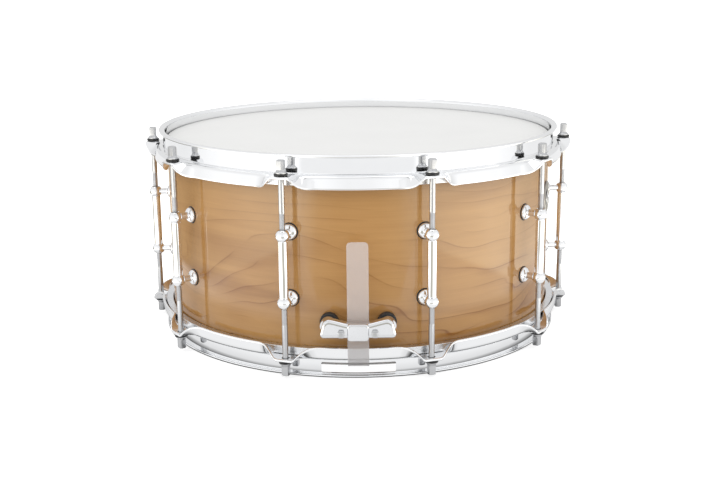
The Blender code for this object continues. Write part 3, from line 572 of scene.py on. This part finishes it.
def lug_mesh():
    """A tube between two bored balls, each ball on a stem with a domed foot."""
    low, high = BALL_HEIGHTS
    ball, tube, bore, end = 5.8 * MM, 3.8 * MM, 2.85 * MM, 4.5 * MM
    start = math.degrees(math.asin(tube / ball))
    edge = math.degrees(math.acos(end / ball))
    steps = 14
    angles = [radians(edge + (180 - start - edge) * i / steps) for i in range(steps + 1)]
    mouth = [(bore, -end + 21 * MM), (bore, -end + 0.5 * MM), (bore + 0.4 * MM, -end)]
    round_ball = [(sin(a) * ball, -cos(a) * ball) for a in angles]
    top = round_ball[-1][1]
    neck = [(tube + 0.35 * MM, top + 0.15 * MM), (tube, top + 0.6 * MM)]
    half = mouth + round_ball + neck
    profile = [(r, low + z) for r, z in half] + [(r, high - z) for r, z in reversed(half)]
    to_circle = Matrix.Translation((0, -ROD_CIRCLE, 0))
    body = loft(moved(turned(profile, ROUND_SIDES), to_circle))

    foot = SHELL_RADIUS + 0.4 * MM
    stem = [(6.3 * MM, foot), (6.6 * MM, foot + 0.3 * MM), (6.6 * MM, foot + 1.0 * MM)]
    for degrees in (10, 25, 40, 55, 70, 82):
        a = radians(degrees)
        stem.append((2.8 * MM + 3.7 * MM * cos(a), foot + 1.0 * MM + 2.6 * MM * sin(a)))
    stem += [(2.9 * MM, foot + 4.0 * MM), (2.7 * MM, foot + 5.0 * MM)]
    stem += [(2.7 * MM, ROD_CIRCLE - 4.6 * MM)]
    stem += [(3.3 * MM, ROD_CIRCLE - 4.0 * MM), (3.3 * MM, ROD_CIRCLE - 3.4 * MM)]
    stems = [loft(moved(turned(stem, ROUND_SIDES), outward(0, z))) for z in BALL_HEIGHTS]
    return smooth(combined(body, unions=stems), 42)


def lug_gasket_mesh():
    """The two rings between a lug's feet and the wood."""
    bore, outer = 2.6 * MM, 7.4 * MM
    back, front = 176.05 * MM, 176.58 * MM
    ring = [(bore, back), (outer, back), (outer, 176.4 * MM), (7.0 * MM, front), (bore, front)]
    solids = [moved(turned(ring, ROUND_SIDES), outward(0, z)) for z in BALL_HEIGHTS]
    return smooth(loft(*solids, closed=True))


def lug_screw_mesh():
    """The washer and domed screw head behind each foot, inside the shell."""
    inner = SHELL_RADIUS - SHELL_WALL
    near, far = inner - 0.2 * MM, inner - 1.1 * MM
    washer = four_corners(1.5 * MM, 6.0 * MM, near, far)
    head = [(4.6 * MM, far), (4.7 * MM, inner - 1.9 * MM), (4.1 * MM, inner - 3.2 * MM)]
    head += [(2.6 * MM, inner - 4.0 * MM), (2.2 * MM, inner - 4.1 * MM)]
    solids = []
    for z in BALL_HEIGHTS:
        solids += [moved(turned(profile, SMALL_SIDES), outward(0, z)) for profile in (washer, head)]
    return smooth(loft(*solids))


def make_lugs():
    lug, gaskets, screws = lug_mesh(), lug_gasket_mesh(), lug_screw_mesh()
    for n, angle in LUGS:
        turn = (0, 0, radians(angle))
        place("lug_" + n, lug, "chrome", ["tube_lug_" + n], rotation=turn)
        place("lug_gaskets_" + n, gaskets, "rubber", rotation=turn)
        place("lug_screws_" + n, screws, "steel", rotation=turn)


def square_ring(half, height, corner):
    """Points around a square whose corners are rounder for a larger corner, from +X on."""
    power = 2.0 / corner
    points = []
    for k in range(SMALL_SIDES):
        a = 2 * pi * k / SMALL_SIDES
        c, s = cos(a), sin(a)
        r = half / (abs(c) ** power + abs(s) ** power) ** (1 / power)
        points.append(Vector((r * c, r * s, height)))
    return points


def key_rings(base, *levels):
    """A key head's rings, from (half width, height above the base, corner) in millimetres."""
    return [square_ring(half * MM, base + z * MM, corner) for half, z, corner in levels]


ROD_RADIUS = 2.45 * MM
THREAD_PITCH = 1.06 * MM
THREAD_DEPTH = 0.34 * MM
THREAD_LENGTH = 26.0 * MM
ROD_TIP = -71.5 * MM  # from the rim plane
ROD_SEAT = 0.3 * MM - EAR_DEPTH
COLLAR_BOTTOM = ROD_SEAT + 1.6 * MM


def rod_mesh():
    """A key rod hung from the rim plane: a cut thread, a shank, a collar and a square head."""
    rings = [circle(1.7 * MM, ROD_TIP, SMALL_SIDES), circle(2.0 * MM, ROD_TIP + 0.5 * MM, SMALL_SIDES)]
    thread_end = ROD_TIP + THREAD_LENGTH
    steps = int((thread_end - ROD_TIP - 0.6 * MM) / (THREAD_PITCH / 5))
    for i in range(steps):
        z = ROD_TIP + 0.6 * MM + i * THREAD_PITCH / 5
        ring = []
        for k in range(SMALL_SIDES):
            a = 2 * pi * k / SMALL_SIDES
            phase = ((z - ROD_TIP) / THREAD_PITCH - k / SMALL_SIDES) % 1.0
            radius = ROD_RADIUS - THREAD_DEPTH * (1 - abs(2 * phase - 1))
            ring.append(Vector((radius * cos(a), radius * sin(a), z)))
        rings.append(ring)
    top = COLLAR_BOTTOM
    shank = [(ROD_RADIUS, thread_end + 0.8 * MM), (ROD_RADIUS, ROD_SEAT + 1.7 * MM)]
    collar = [(4.5, 0.05), (4.7, 0.25), (4.7, 0.9), (4.4, 1.2), (3.9, 1.5), (3.6, 2.2)]
    rings += turned(shank + [(r * MM, top + z * MM) for r, z in collar], SMALL_SIDES)
    rings += key_rings(top, (3.0, 3.0, 0.5), (3.05, 3.4, 0.3), (3.05, 9.9, 0.3), (2.85, 10.5, 0.4))
    rings += key_rings(top, (2.3, 10.85, 0.6), (1.2, 11.0, 1.0))
    return smooth(loft(rings), 38)


def rod_washer_mesh():
    section = rounded(four_corners(2.7 * MM, 5.6 * MM, ROD_SEAT, COLLAR_BOTTOM), 0.35 * MM, 3)
    return smooth(loft(turned(section, ROUND_SIDES), closed=True))


def make_rods():
    """Key rods hung from both hoops, each over a black nylon washer."""
    rod, washer = rod_mesh(), rod_washer_mesh()
    for n, angle in LUGS:
        for side, height, tilt in (("batter", HEIGHT, 0.0), ("snare", 0.0, pi)):
            at = at_angle(angle, ROD_CIRCLE, height)
            turn = (tilt, 0, radians(angle))
            body = f"{side}_rod_{n}"
            node = f"{side}_tension_rod_{n}"
            place(f"{side}_key_rod_{n}", rod, "plated", [node], at, turn, body)
            place(f"{side}_washer_{n}", washer, "nylon", (), at, turn, body)


# Vent and badge


def make_badge():
    """An oval plate held against the wood by the tube of the vent grommet."""
    carry = turn_z(VENT_ANGLE) @ outward(0.0, VENT_HEIGHT)
    half_width, half_height = 10 * MM, 15 * MM
    back = SHELL_RADIUS + 0.3 * MM
    levels = [(0.0, 1.0), (0.9, 1.0), (1.3, 0.975), (1.5, 0.93), (1.5, 0.88), (1.25, 0.85), (1.25, 0.5)]
    oval = circle(1.0, 0.0, 72)
    rings = [
        [Vector((p.x * half_width * share, p.y * half_height * share, back + z * MM)) for p in oval]
        for z, share in levels
    ]
    hole = turned([(5.25 * MM, back - MM), (5.25 * MM, back + 3 * MM)], ROUND_SIDES)
    hole = loft(moved(hole, carry))
    plate = smooth(combined(loft(moved(rings, carry)), cuts=[hole]), 50)
    place("badge_plate", plate, "badge", ["badge"])

    bore, tube, flange, thick = 3.5 * MM, 5.0 * MM, 6.8 * MM, 0.8 * MM
    inner = SHELL_RADIUS - SHELL_WALL - 0.6 * MM
    outer = back + 1.8 * MM
    corners = [(bore, outer + thick), (flange, outer + thick), (flange, outer), (tube, outer)]
    corners += [(tube, inner), (flange, inner), (flange, inner - thick), (bore, inner - thick)]
    profile = rounded(corners, 0.7 * MM, 4)
    mesh = smooth(loft(moved(turned(profile, 48), carry), closed=True), 50)
    place("grommet", mesh, "chrome", ["vent_grommet"])


# Clamps and straps


def screw_mesh(length):
    """A key-head screw that points up: a shank below the collar and square head."""
    shank = [(1.5 * MM, -length), (1.8 * MM, 0.4 * MM - length), (1.8 * MM, -0.05 * MM)]
    collar = [(2.9 * MM, 0.0), (3.0 * MM, 0.2 * MM), (3.0 * MM, 0.8 * MM), (2.7 * MM, 1.0 * MM)]
    rings = turned(shank + collar + [(2.5 * MM, 1.1 * MM)], SMALL_SIDES)
    rings += key_rings(0.0, (2.15, 1.4, 0.4), (2.2, 1.6, 0.3), (2.2, 4.2, 0.3), (1.9, 4.5, 0.45))
    rings += key_rings(0.0, (1.0, 4.6, 0.9))
    return smooth(loft(rings), 38)


def screw_holes(side, height, near, far):
    """Clearance holes for a clamp's two screws."""
    hole = turned([(2.3 * MM, near), (2.3 * MM, far)], SMALL_SIDES)
    hole = moved(hole, outward(0.0, height, side))
    shifts = [Matrix.Translation((x, 0, 0)) for x in (-SCREW_OFFSET, SCREW_OFFSET)]
    return loft(*[moved(hole, shift) for shift in shifts])


def place_screws(clamp, side, mesh, body, reach, height):
    """A clamp's two screws, their heads outwards."""
    tilt = (-side * pi / 2, 0, 0)
    for name, x in (("left", -SCREW_OFFSET), ("right", SCREW_OFFSET)):
        node = f"{clamp}_clamp_screw_{name}"
        at = (x, side * reach, height)
        place(f"{clamp}_screw_{name}", mesh, "plated", [node], at, tilt, body)


# The straps' shared route in millimetres: (reach, height) from the wires' end plate to the upright part
STRAP_BEND = [
    (157.5, 7.5), (165.0, 7.5), (170.0, 7.5), (173.2, 7.6), (175.5, 7.9), (177.6, 8.9), (179.5, 10.0),
    (181.5, 10.9), (183.5, 11.6), (185.5, 12.55), (187.2, 13.8), (188.5, 15.1), (189.4, 16.6),
    (189.85, 18.2), (190.0, 20.0),
]
STRAP_HALF_WIDTH, STRAP_HALF_THICKNESS = 8.7, 0.225
# Where a strap's upper end is rounded: (height above the start of the corners, inset from its edge)
STRAP_CORNERS = [(1.2, 0.1), (2.2, 0.4), (3.0, 0.95), (3.6, 1.8), (4.0, 3.2)]


def strap_mesh(side, top):
    """A flat strap, from the wires through the snare gate and up beside the drum."""
    upright = 190.0
    corners_start = top / MM - STRAP_CORNERS[-1][0]
    length = top / MM - 24.0
    route = STRAP_BEND + [(upright, 20.0 + length * i / 10) for i in range(1, 11)]
    insets = [0.0] * len(route) + [inset for _, inset in STRAP_CORNERS]
    route += [(upright, corners_start + rise) for rise, _ in STRAP_CORNERS]
    thick = STRAP_HALF_THICKNESS
    rings = []
    for i, ((reach, height), inset) in enumerate(zip(route, insets)):
        before, after = route[max(i - 1, 0)], route[min(i + 1, len(route) - 1)]
        along = (Vector(after) - Vector(before)).normalized()
        normal = Vector((along.y, -along.x))
        points = rectangle(STRAP_HALF_WIDTH - inset, -thick, thick, 0.12, 2)
        rings.append([
            Vector((x, side * (reach + way * normal.x), height + way * normal.y)) * MM for x, way in points
        ])
    return smooth(loft(rings), 50)


BUTT_BACK, BUTT_FRONT, BOSS_FRONT = 190.6 * MM, 197.5 * MM, 200.0 * MM
BUTT_SCREW_HEIGHT = BUTT_HEIGHT - 1.5 * MM


def bow_tie_rings():
    """The butt plate's wings, their front edges rounded in steps."""
    right = [(8.6, -5.9), (28.8, -5.7), (30.8, -3.6), (28.0, 8.0), (24.0, 10.4), (20.0, 9.6), (8.6, 6.4)]
    corners = right + [(-x, z) for x, z in reversed(right)]
    outline = rounded([(x * MM, BUTT_HEIGHT + z * MM) for x, z in corners], 3.0 * MM, 6)
    spine_half, spine_height = 24.0 * MM, BUTT_HEIGHT + 0.5 * MM

    def shrunk(amount):
        """The outline drawn in towards a level line between the wings."""
        ring = []
        for p in outline:
            anchor = Vector((max(-spine_half, min(spine_half, p.x)), spine_height))
            away = p - anchor
            ring.append(p - away.normalized() * min(amount, away.length * 0.8))
        return ring

    front = BUTT_FRONT
    levels = [(BUTT_BACK, 0.4), (BUTT_BACK + 0.3 * MM, 0.0), (front - 2.4 * MM, 0.0)]
    levels += [(front - 1.5 * MM, 0.25), (front - 0.8 * MM, 0.7), (front - 0.3 * MM, 1.4)]
    levels += [(front - 0.05 * MM, 2.6), (front, 4.0)]
    return [[Vector((p.x, -reach, p.y)) for p in shrunk(inset * MM)] for reach, inset in levels]


def boss_rings():
    """The block in the butt plate's middle, its front edges rounded in steps."""
    half, low, high = 8.6 * MM, BUTT_HEIGHT - 7.4 * MM, BUTT_HEIGHT + 6.6 * MM
    front = BOSS_FRONT
    levels = [(BUTT_FRONT - 3 * MM, 0.0), (front - 1.2 * MM, 0.0), (front - 0.6 * MM, 0.2)]
    rings = []
    for reach, inset in levels + [(front - 0.2 * MM, 0.6), (front, 1.3)]:
        i = inset * MM
        outline = rectangle(half - i, low + i, high - i, 2.6 * MM, 5)
        rings.append([Vector((p.x, -reach, p.y)) for p in outline])
    return rings


def make_butt():
    """A bow-tie casting on two posts over rubber rings, clamping the strap against a bar."""
    post = [(6.2 * MM, 182.5 * MM), (6.2 * MM, 185.0 * MM), (6.0 * MM, 188.0 * MM), (5.6 * MM, 192.1 * MM)]
    carries = [turn_z(angle) @ outward(0.0, BUTT_HEIGHT + 2.4 * MM) for angle in (-7.5, 7.5)]
    posts = [loft(moved(turned(post, 48), carry)) for carry in carries]
    holes = screw_holes(-1, BUTT_SCREW_HEIGHT, 184 * MM, 202 * MM)
    boss = loft(boss_rings())
    casting = combined(loft(bow_tie_rings()), unions=[boss, *posts], cuts=[holes])
    place("butt_casting", smooth(casting, 32), "casting", ["butt_plate"])
    ring = rounded(four_corners(3.0 * MM, 7.6 * MM, 176.7 * MM, 182.2 * MM), 0.9 * MM, 4)
    for side, carry in zip(("left", "right"), carries):
        gasket = smooth(loft(moved(turned(ring, 48), carry), closed=True))
        place("butt_ring_" + side, gasket, "rubber", ["butt_gasket_" + side])

    half_height, thick = 4.2 * MM, 4.2 * MM
    low, high = BUTT_SCREW_HEIGHT - half_height, BUTT_SCREW_HEIGHT + half_height
    outline = rectangle(16.1 * MM, low, high, 2 * MM, 5)
    bar = prism(outline, -STRAP_BACK, thick - STRAP_BACK)
    bar = combined(loft(bar), cuts=[holes])
    bevelled(place("butt_bar", bar, "steel", ["butt_clamp_bar"]), 0.5 * MM)
    head = BUTT_FRONT + 0.3 * MM
    place_screws("butt", -1, screw_mesh(head - 184.8 * MM), "drum", head, BUTT_SCREW_HEIGHT)
    strap = strap_mesh(-1, 116 * MM)
    place("butt_strap_film", strap, "strap", ["butt_strap"])


# Strainer


PIN_REACH, PIN_HEIGHT = 194 * MM, 88 * MM
CARRIAGE_NEAR, CARRIAGE_FAR = 180.4 * MM, 189.0 * MM
CARRIAGE_HALF = 17.2 * MM
KNOB_REACH = 186.2 * MM
CLAMP_HEIGHT = 60 * MM


def side_prism(outline, low, high):
    """Rings of a bar whose (y, z) outline is extruded along X."""
    return [[Vector((x, *p)) for p in outline] for x in (low, high)]


def on_pin(profile, segments):
    """A shape turned about the lever's pin, from millimetres."""
    profile = [(r * MM, z * MM) for r, z in profile]
    pin = Matrix.Translation((0, PIN_REACH, PIN_HEIGHT)) @ Matrix.Rotation(pi / 2, 4, "Y")
    return moved(turned(profile, segments), pin)


def pin_bore():
    return loft(on_pin([(1.9, -22), (1.9, 22)], 32))


def make_strainer_frame():
    """A base with two cheeks on a gasket, and the pin between the cheeks."""
    low, high = 44.0 * MM, 98.0 * MM
    back, front = 177.7 * MM, 180.0 * MM
    inner, outer = 17.5 * MM, 20.5 * MM
    base = loft(prism(rectangle(outer, low, high, 3 * MM, 6), back, front))
    outline = [(front - MM, low), (196 * MM, low + 3 * MM), (196 * MM, 80 * MM), (198.4 * MM, 85 * MM)]
    outline += [(198.4 * MM, 91 * MM), (196 * MM, 94 * MM), (front - MM, high)]
    outline = rounded(outline, 3.5 * MM, 6)
    cheeks = [loft(side_prism(outline, *sorted((s * inner, s * outer)))) for s in (-1, 1)]
    mesh = combined(base, unions=cheeks, cuts=[pin_bore()])
    casting = place("strainer_casting", mesh, "casting", ["strainer_body"])
    bevelled(casting, 0.45 * MM)
    outline = rectangle(outer, low - MM, high + MM, 3.6 * MM, 6)
    pad = loft(prism(outline, 176.5 * MM, 177.4 * MM))
    pad = place("strainer_pad", pad, "rubber", ["strainer_gasket"])
    bevelled(pad, 0.2 * MM, 2)
    pin = on_pin([(1.2, -20.8), (1.6, -20.4), (1.6, 20.4), (1.2, 20.8)], 32)
    place("pin", smooth(loft(pin)), "steel", ["lever_pin"])


def make_lever():
    """A hub around the pin with a paddle that curls outwards at its tip."""
    hub = on_pin([(4.0, -17.05), (4.4, -16.6), (4.4, 16.6), (4.0, 17.05)], ROUND_SIDES)
    front = [(197.4, 89.0), (197.35, 100.0), (197.3, 112.0), (197.5, 117.0), (198.3, 120.4), (199.8, 123.6)]
    front += [(202.2, 125.6)]
    back = [(201.0, 127.9), (198.6, 126.2), (196.4, 123.4), (195.0, 120.6), (194.5, 115.0), (194.4, 102.0)]
    back += [(194.3, 89.0)]
    middle = [((a[0] + b[0]) / 2, (a[1] + b[1]) / 2) for a, b in zip(front, reversed(back))]
    sections = []
    for x, thinning in ((-10.0, 0.55), (-9.6, 0.2), (-9.0, 0.0), (9.0, 0.0), (9.6, 0.2), (10.0, 0.55)):
        ring = [Vector(p).lerp(Vector(c), thinning) for p, c in zip(front, middle)]
        ring += [Vector(p).lerp(Vector(c), thinning) for p, c in zip(back, reversed(middle))]
        sections.append([Vector((x, p.x, p.y)) * MM for p in ring])
    paddle = loft(sections)
    lever = smooth(combined(loft(hub), unions=[paddle], cuts=[pin_bore()]), 40)
    lever.transform(Matrix.Translation((0, -PIN_REACH, -PIN_HEIGHT)))
    at = (0, PIN_REACH, PIN_HEIGHT)
    place("lever", lever, "chrome", ["throw_lever"], at, body="throw_lever")


def make_knob():
    """A knurled knob with its adjusting screw, made with its base at the origin."""
    sides = 72
    low = 100.3 * MM
    shank = [(1.3 * MM, 55 * MM), (1.6 * MM, 55.5 * MM), (1.6 * MM, low)]
    rings = turned(shank + [(5.0 * MM, low + 0.02 * MM)], sides)
    knurl = [(5.4, 0.0, 0.4), (5.8, 0.35, 0.9), (5.8, 0.35, 7.4), (5.4, 0.1, 8.2), (4.6, 0.0, 8.8)]
    for radius, groove, z in knurl + [(3.0, 0.0, 9.0)]:
        ring = []
        for k in range(sides):
            a = 2 * pi * k / sides
            r = (radius - (groove if k % 3 == 0 else 0.0)) * MM
            ring.append(Vector((r * cos(a), r * sin(a), low + z * MM)))
        rings.append(ring)
    knob = smooth(loft(rings), 30)
    knob.transform(Matrix.Translation((0, 0, -low)))
    at = (0, KNOB_REACH, low)
    place("knob", knob, "chrome", ["tension_knob"], at, body="tension_knob")


def make_strainer():
    """The throw-off opposite the butt plate: frame, lever, carriage, clamp slide, knob and strap."""
    make_strainer_frame()
    make_lever()
    near, far = CARRIAGE_NEAR, CARRIAGE_FAR
    shaft_hole = turned([(2.0 * MM, 40 * MM), (2.0 * MM, 120 * MM)], 32)
    shaft_hole = loft(moved(shaft_hole, Matrix.Translation((0, KNOB_REACH, 0))))

    def block(low, high, front, cuts):
        plan = rectangle(CARRIAGE_HALF, low, high, 1.5 * MM, 4)
        return combined(loft(prism(plan, near, front)), cuts=cuts)

    window = rectangle(9 * MM, 76 * MM, 92 * MM, 3 * MM, 5)
    window = loft(prism(window, far - 1.6 * MM, far + 3 * MM))
    mesh = block(72 * MM, 100 * MM, far, [shaft_hole, window])
    node = "strap_carriage"
    bevelled(place("carriage", mesh, "steel", [node], body=node), 0.4 * MM)
    holes = screw_holes(1, CLAMP_HEIGHT, near + MM, 200 * MM)
    mesh = block(52 * MM, 68 * MM, far + 0.4 * MM, [shaft_hole, holes])
    node = "clamp_slide"
    bevelled(place("slide_block", mesh, "chrome", [node], body=node), 0.4 * MM)
    make_knob()

    half_height = 6 * MM
    front = STRAP_FRONT + 4.2 * MM
    plan = rectangle(CARRIAGE_HALF, CLAMP_HEIGHT - half_height, CLAMP_HEIGHT + half_height, 2.5 * MM, 5)
    mesh = combined(loft(prism(plan, STRAP_FRONT, front)), cuts=[holes])
    plate = place("clamp_plate", mesh, "chrome", ["strainer_clamp_plate"], body=node)
    bevelled(plate, 0.7 * MM)
    head = front + 0.3 * MM
    place_screws("strainer", 1, screw_mesh(head - (near + 2 * MM)), "clamp_slide", head, CLAMP_HEIGHT)

    strap = add_object("strainer_strap_film", strap_mesh(1, 78 * MM))
    strap.data.materials.append(materials["strap"])
    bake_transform(strap)
    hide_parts("strainer_strap")


# Snare wires


def strands_mesh():
    """Twenty coiled strands side by side, each wound along Y from a four-sided wire."""
    count, spacing = 20, 2.2 * MM
    coil, wire, pitch = 0.48 * MM, 0.16 * MM, 2.2 * MM
    middle, end = 7.65 * MM, 156.0 * MM
    per_turn = 8
    steps = int(2 * end / pitch) * per_turn + 1
    along = Vector((0, 1, 0))
    verts, faces = [], []
    for strand in range(count):
        across = (strand - (count - 1) / 2) * spacing
        base = len(verts)
        for i in range(steps):
            a = 2 * pi * i / per_turn
            y = -end + pitch * i / per_turn
            centre = Vector((across + coil * cos(a), y, middle + coil * sin(a)))
            out = Vector((cos(a), 0, sin(a)))
            for k in range(4):
                b = pi / 2 * k
                verts.append(centre + wire * (cos(b) * out + sin(b) * along))
        for i in range(steps - 1):
            for k in range(4):
                n = (k + 1) % 4
                a, b = base + 4 * i, base + 4 * (i + 1)
                faces.append((a + k, b + k, b + n, a + n))
        faces.append(tuple(base + k for k in range(4)))
        faces.append(tuple(base + 4 * (steps - 1) + k for k in (3, 2, 1, 0)))
    return mesh_of(verts, faces)


def flat_plate(outline, low, high):
    """A plate whose (x, y) outline is extruded along Z."""
    return loft([[Vector((*p, z)) for p in outline] for z in (low, high)])


def make_wires():
    """Coiled strands soldered to an end plate at each end."""
    strands = strands_mesh()
    strands.shade_smooth()
    place("strands", strands, "wire", ["snare_wires"], body="snare_wires")
    half, half_depth = 3.2 * MM, 0.7 * MM  # of a plate's slots
    for side, name in ((-1, "butt"), (1, "strainer")):
        near, far = sorted((side * 152 * MM, side * 165 * MM))
        solid = flat_plate(rectangle(23 * MM, near, far, 1.5 * MM, 4), 5.8 * MM, 7.1 * MM)
        slots = []
        for x in (-12 * MM, 12 * MM):
            y = side * 161 * MM
            outline = four_corners(x - half, x + half, y - half_depth, y + half_depth)
            slots.append(flat_plate(rounded(outline, 0.6 * MM, 3), 5 * MM, 8 * MM))
        plate = combined(solid, cuts=slots)
        plate = place("end_plate_" + name, plate, "steel", body="snare_wires")
        bevelled(plate, 0.25 * MM, 2)


# Staging


def make_light():
    """A softbox above the drum."""
    data = bpy.data.lights.new("top_softbox", "AREA")
    data.shape = "RECTANGLE"
    data.size, data.size_y = 1.6, 1.2
    data.energy = 4
    light = add_object("top_softbox", data)
    location, target = Vector((0, -0.2, 1.9)), Vector((0, 0, 0.09))
    light.location = location
    light.rotation_euler = (target - location).to_track_quat("-Z", "Y").to_euler()


def azimuth(g, parts):
    """Where a point or direction lies on the turn around the drum: 0 and 1 behind it, 0.5 in front."""
    angle = g.maths("ARCTAN2", parts["X"], g.times(parts["Y"], -1.0))
    return g.spread_from(angle, -pi, pi)


def both_ways(*half):
    """Stops for the whole turn around the drum, from those on its left half."""
    return half + tuple((1.0 - at, value) for at, value in reversed(half))


# What polished surfaces mirror, as (place on the turn, value) pairs.
# Painted reflections: panels that the floor glows with only for glossy rays, then the floor past them, as
# shares of MIRRORED_MOST:
MIRRORED_MOST = 4.0
FLOOR_RING = (
    (0.0, 0.22), (0.10, 0.22), (0.14, 0.06), (0.22, 0.10), (0.28, 0.40), (0.34, 0.76), (0.41, 1.0),
    (0.445, 0.25), (0.47, 0.14), (0.53, 0.14), (0.555, 0.25), (0.60, 0.85), (0.70, 0.95), (0.78, 0.5),
    (0.86, 0.08), (0.90, 0.22), (1.0, 0.22),
)
BEYOND_RING = both_ways((0.0, 0.23), (0.2, 0.23), (0.3, 0.29), (0.41, 0.33), (0.42, 0.238))
# The floor between the drum and the panels:
NEAR_RING = (
    (0.0, 0.85), (0.08, 0.8), (0.15, 0.35), (0.22, 0.6), (0.30, 1.0), (0.70, 1.0), (0.78, 0.7),
    (0.85, 0.35), (0.92, 0.8), (1.0, 0.85),
)
# How far out the panels start, as a share of the way from PANELS_FROM's first reach to its second:
EDGE_RING = both_ways((0.0, 0.1), (0.28, 0.05), (0.385, 0.75), (0.42, 1.0), (0.45, 0.1))
PANELS_FROM = (0.34, 0.6)
# The room, low down:
WORLD_RING = both_ways((0.0, 0.72), (0.15, 0.74), (0.27, 1.0), (0.45, 1.0), (0.485, 0.9))


def floor_glow(g, turn, reach):
    """What polished surfaces mirror of the floor, as a painted glow that only glossy rays see: its first
    stretch, the panels, and past them.
    """
    # Painted contact shadow: the mirrored floor is darker next to the drum.
    contact_shadow = g.ramp(g.spread_from(reach, 0.186, 0.21), (0.0, 0.1), (0.35, 0.85), (1.0, 1.0))
    near = g.times(g.times(g.ramp(turn, *NEAR_RING), 0.95), contact_shadow)
    beside = g.ramp(turn, *both_ways((0.43, 1.0), (0.46, 0.1)))
    boost = g.times(g.spread_from(reach, 0.29, 0.33), beside)
    near = g.times(near, g.maths("MULTIPLY_ADD", boost, 1.2, 1.0))
    edge = g.spread(g.ramp(turn, *EDGE_RING), *PANELS_FROM)
    on_panels = g.spread_from(g.maths("SUBTRACT", reach, edge), 0.0, 0.03)
    panels = g.times(g.ramp(turn, *FLOOR_RING), MIRRORED_MOST)
    panels = g.mix(1.0, panels, (1.0, 0.96, 0.85), "MULTIPLY")
    beyond = g.times(g.ramp(turn, *BEYOND_RING), MIRRORED_MOST)
    return g.mix(on_panels, near, g.mix(g.spread_from(reach, 0.90, 1.04), panels, beyond))


def mirrored_share(g, path):
    """1, or less where chrome would throw what it mirrors on the wood."""
    return g.maths("MULTIPLY_ADD", g.maths("MINIMUM", path.outputs["Diffuse Depth"], 1.0), -0.85, 1.0)


def make_floor():
    """White paper, seen from above only and open below the drum, so that its underside is lit. It carries a
    painted shadow near the drum for diffuse rays, and glows with painted reflections for glossy rays.
    """
    g = Graph("floor_paper")
    fine = g.noise(g.scaled(g.position(), 40.0), 3.0)
    paper = g.mix(fine, (0.93, 0.93, 0.93), (0.90, 0.90, 0.90))
    turn = azimuth(g, g.parts(g.position()))
    reach = g.add("VectorMath", {0: g.position()}, operation="LENGTH").outputs["Value"]
    glow = floor_glow(g, turn, reach)
    # Painted shadow: for diffuse rays the paper is darker near the drum, down to a quarter of its colour
    # next to it.
    shadowed_paper = g.mix(1.0, paper, g.ramp(g.spread_from(reach, 0.18, 0.34), (0.0, 0.25), (1.0, 1.0)), "MULTIPLY")
    path = g.add("LightPath")
    glossy = path.outputs["Is Glossy Ray"]
    seen = g.times(path.outputs["Is Camera Ray"], 0.7)
    paper = g.mix(path.outputs["Is Diffuse Ray"], paper, shadowed_paper)
    g.finish(
        Base_Color=g.mix(glossy, paper, (0.0, 0.0, 0.0)),
        Roughness=0.9, Specular_IOR_Level=0.0,
        Emission_Color=g.mix(glossy, (1.0, 1.0, 1.0), glow),
        Emission_Strength=g.maths("ADD", seen, g.times(glossy, mirrored_share(g, path))),
    )
    clear = g.add("BsdfTransparent").outputs[0]
    below = g.add("NewGeometry").outputs["Backfacing"]
    mix = g.add("MixShader", {0: below, 1: g.shader.outputs[0], 2: clear})
    g.tree.links.new(mix.outputs[0], g.tree.nodes["Material Output"].inputs["Surface"])
    inner, outer, sides = 0.172, 14.0, 96
    verts = circle(inner, 0.0, sides) + circle(outer, 0.0, sides)
    quads = [(k, sides + k, sides + (k + 1) % sides, (k + 1) % sides) for k in range(sides)]
    mesh = bpy.data.meshes.new("floor")
    mesh.from_pydata(verts, [], quads)
    mesh.materials.append(g.material)
    floor = add_object("floor", mesh)
    floor.location.z = -0.0003


def make_world():
    """An even white room. What polished surfaces mirror of it has a brighter and a dimmer side."""
    world = bpy.data.worlds.new("studio")
    bpy.context.scene.world = world
    world.use_nodes = True
    w = Graph.of(world.node_tree)
    parts = w.parts(w.add("TexCoord").outputs["Generated"])
    turn = azimuth(w, parts)
    height = w.spread_from(parts["Z"], 0.0, 1.0)
    ring = w.mix(w.ramp(height, (0.3, 0.0), (0.7, 1.0)), w.ramp(turn, *WORLD_RING), (0.85, 0.85, 0.85))
    patch = w.ramp(turn, *both_ways((0.40, 0.0), (0.45, 1.0)))
    patch = w.times(patch, w.ramp(height, (0.86, 0.0), (0.90, 1.0), (0.955, 1.0), (0.975, 0.0)))
    ring = w.mix(patch, ring, (0.12, 0.12, 0.12))
    path = w.add("LightPath")
    level = w.times(w.times(ring, 1.1), mirrored_share(w, path))
    level = w.mix(path.outputs["Is Diffuse Ray"], level, (0.98, 0.98, 0.98))
    level = w.maths("MAXIMUM", level, path.outputs["Is Camera Ray"])
    background = world.node_tree.nodes["Background"]
    background.inputs["Color"].default_value = (1.0, 1.0, 1.0, 1.0)
    w.feed(background.inputs["Strength"], level)


def make_camera():
    """The photograph's viewpoint. The camera is rolled a little, in radians."""
    data = bpy.data.cameras.new("camera")
    data.lens, data.sensor_width = 57.37, 36.0
    data.clip_end = 60.0
    camera = add_object("camera", data)
    location, target = Vector((0.0081, -1.0625, 0.3360)), Vector((0.0009, 0.0, 0.0703))
    roll = -0.01006
    look = (target - location).to_track_quat("-Z", "Y").to_matrix().to_4x4()
    camera.matrix_world = Matrix.Translation(location) @ look @ Matrix.Rotation(roll, 4, "Z")
    bpy.context.scene.camera = camera


make_camera()
materials = make_materials()
make_shell()
make_heads()
make_hoops()
make_lugs()
make_rods()
make_badge()
make_butt()
make_strainer()
make_wires()
make_floor()
make_world()
make_light()
bpy.context.scene.view_settings.view_transform = "Standard"
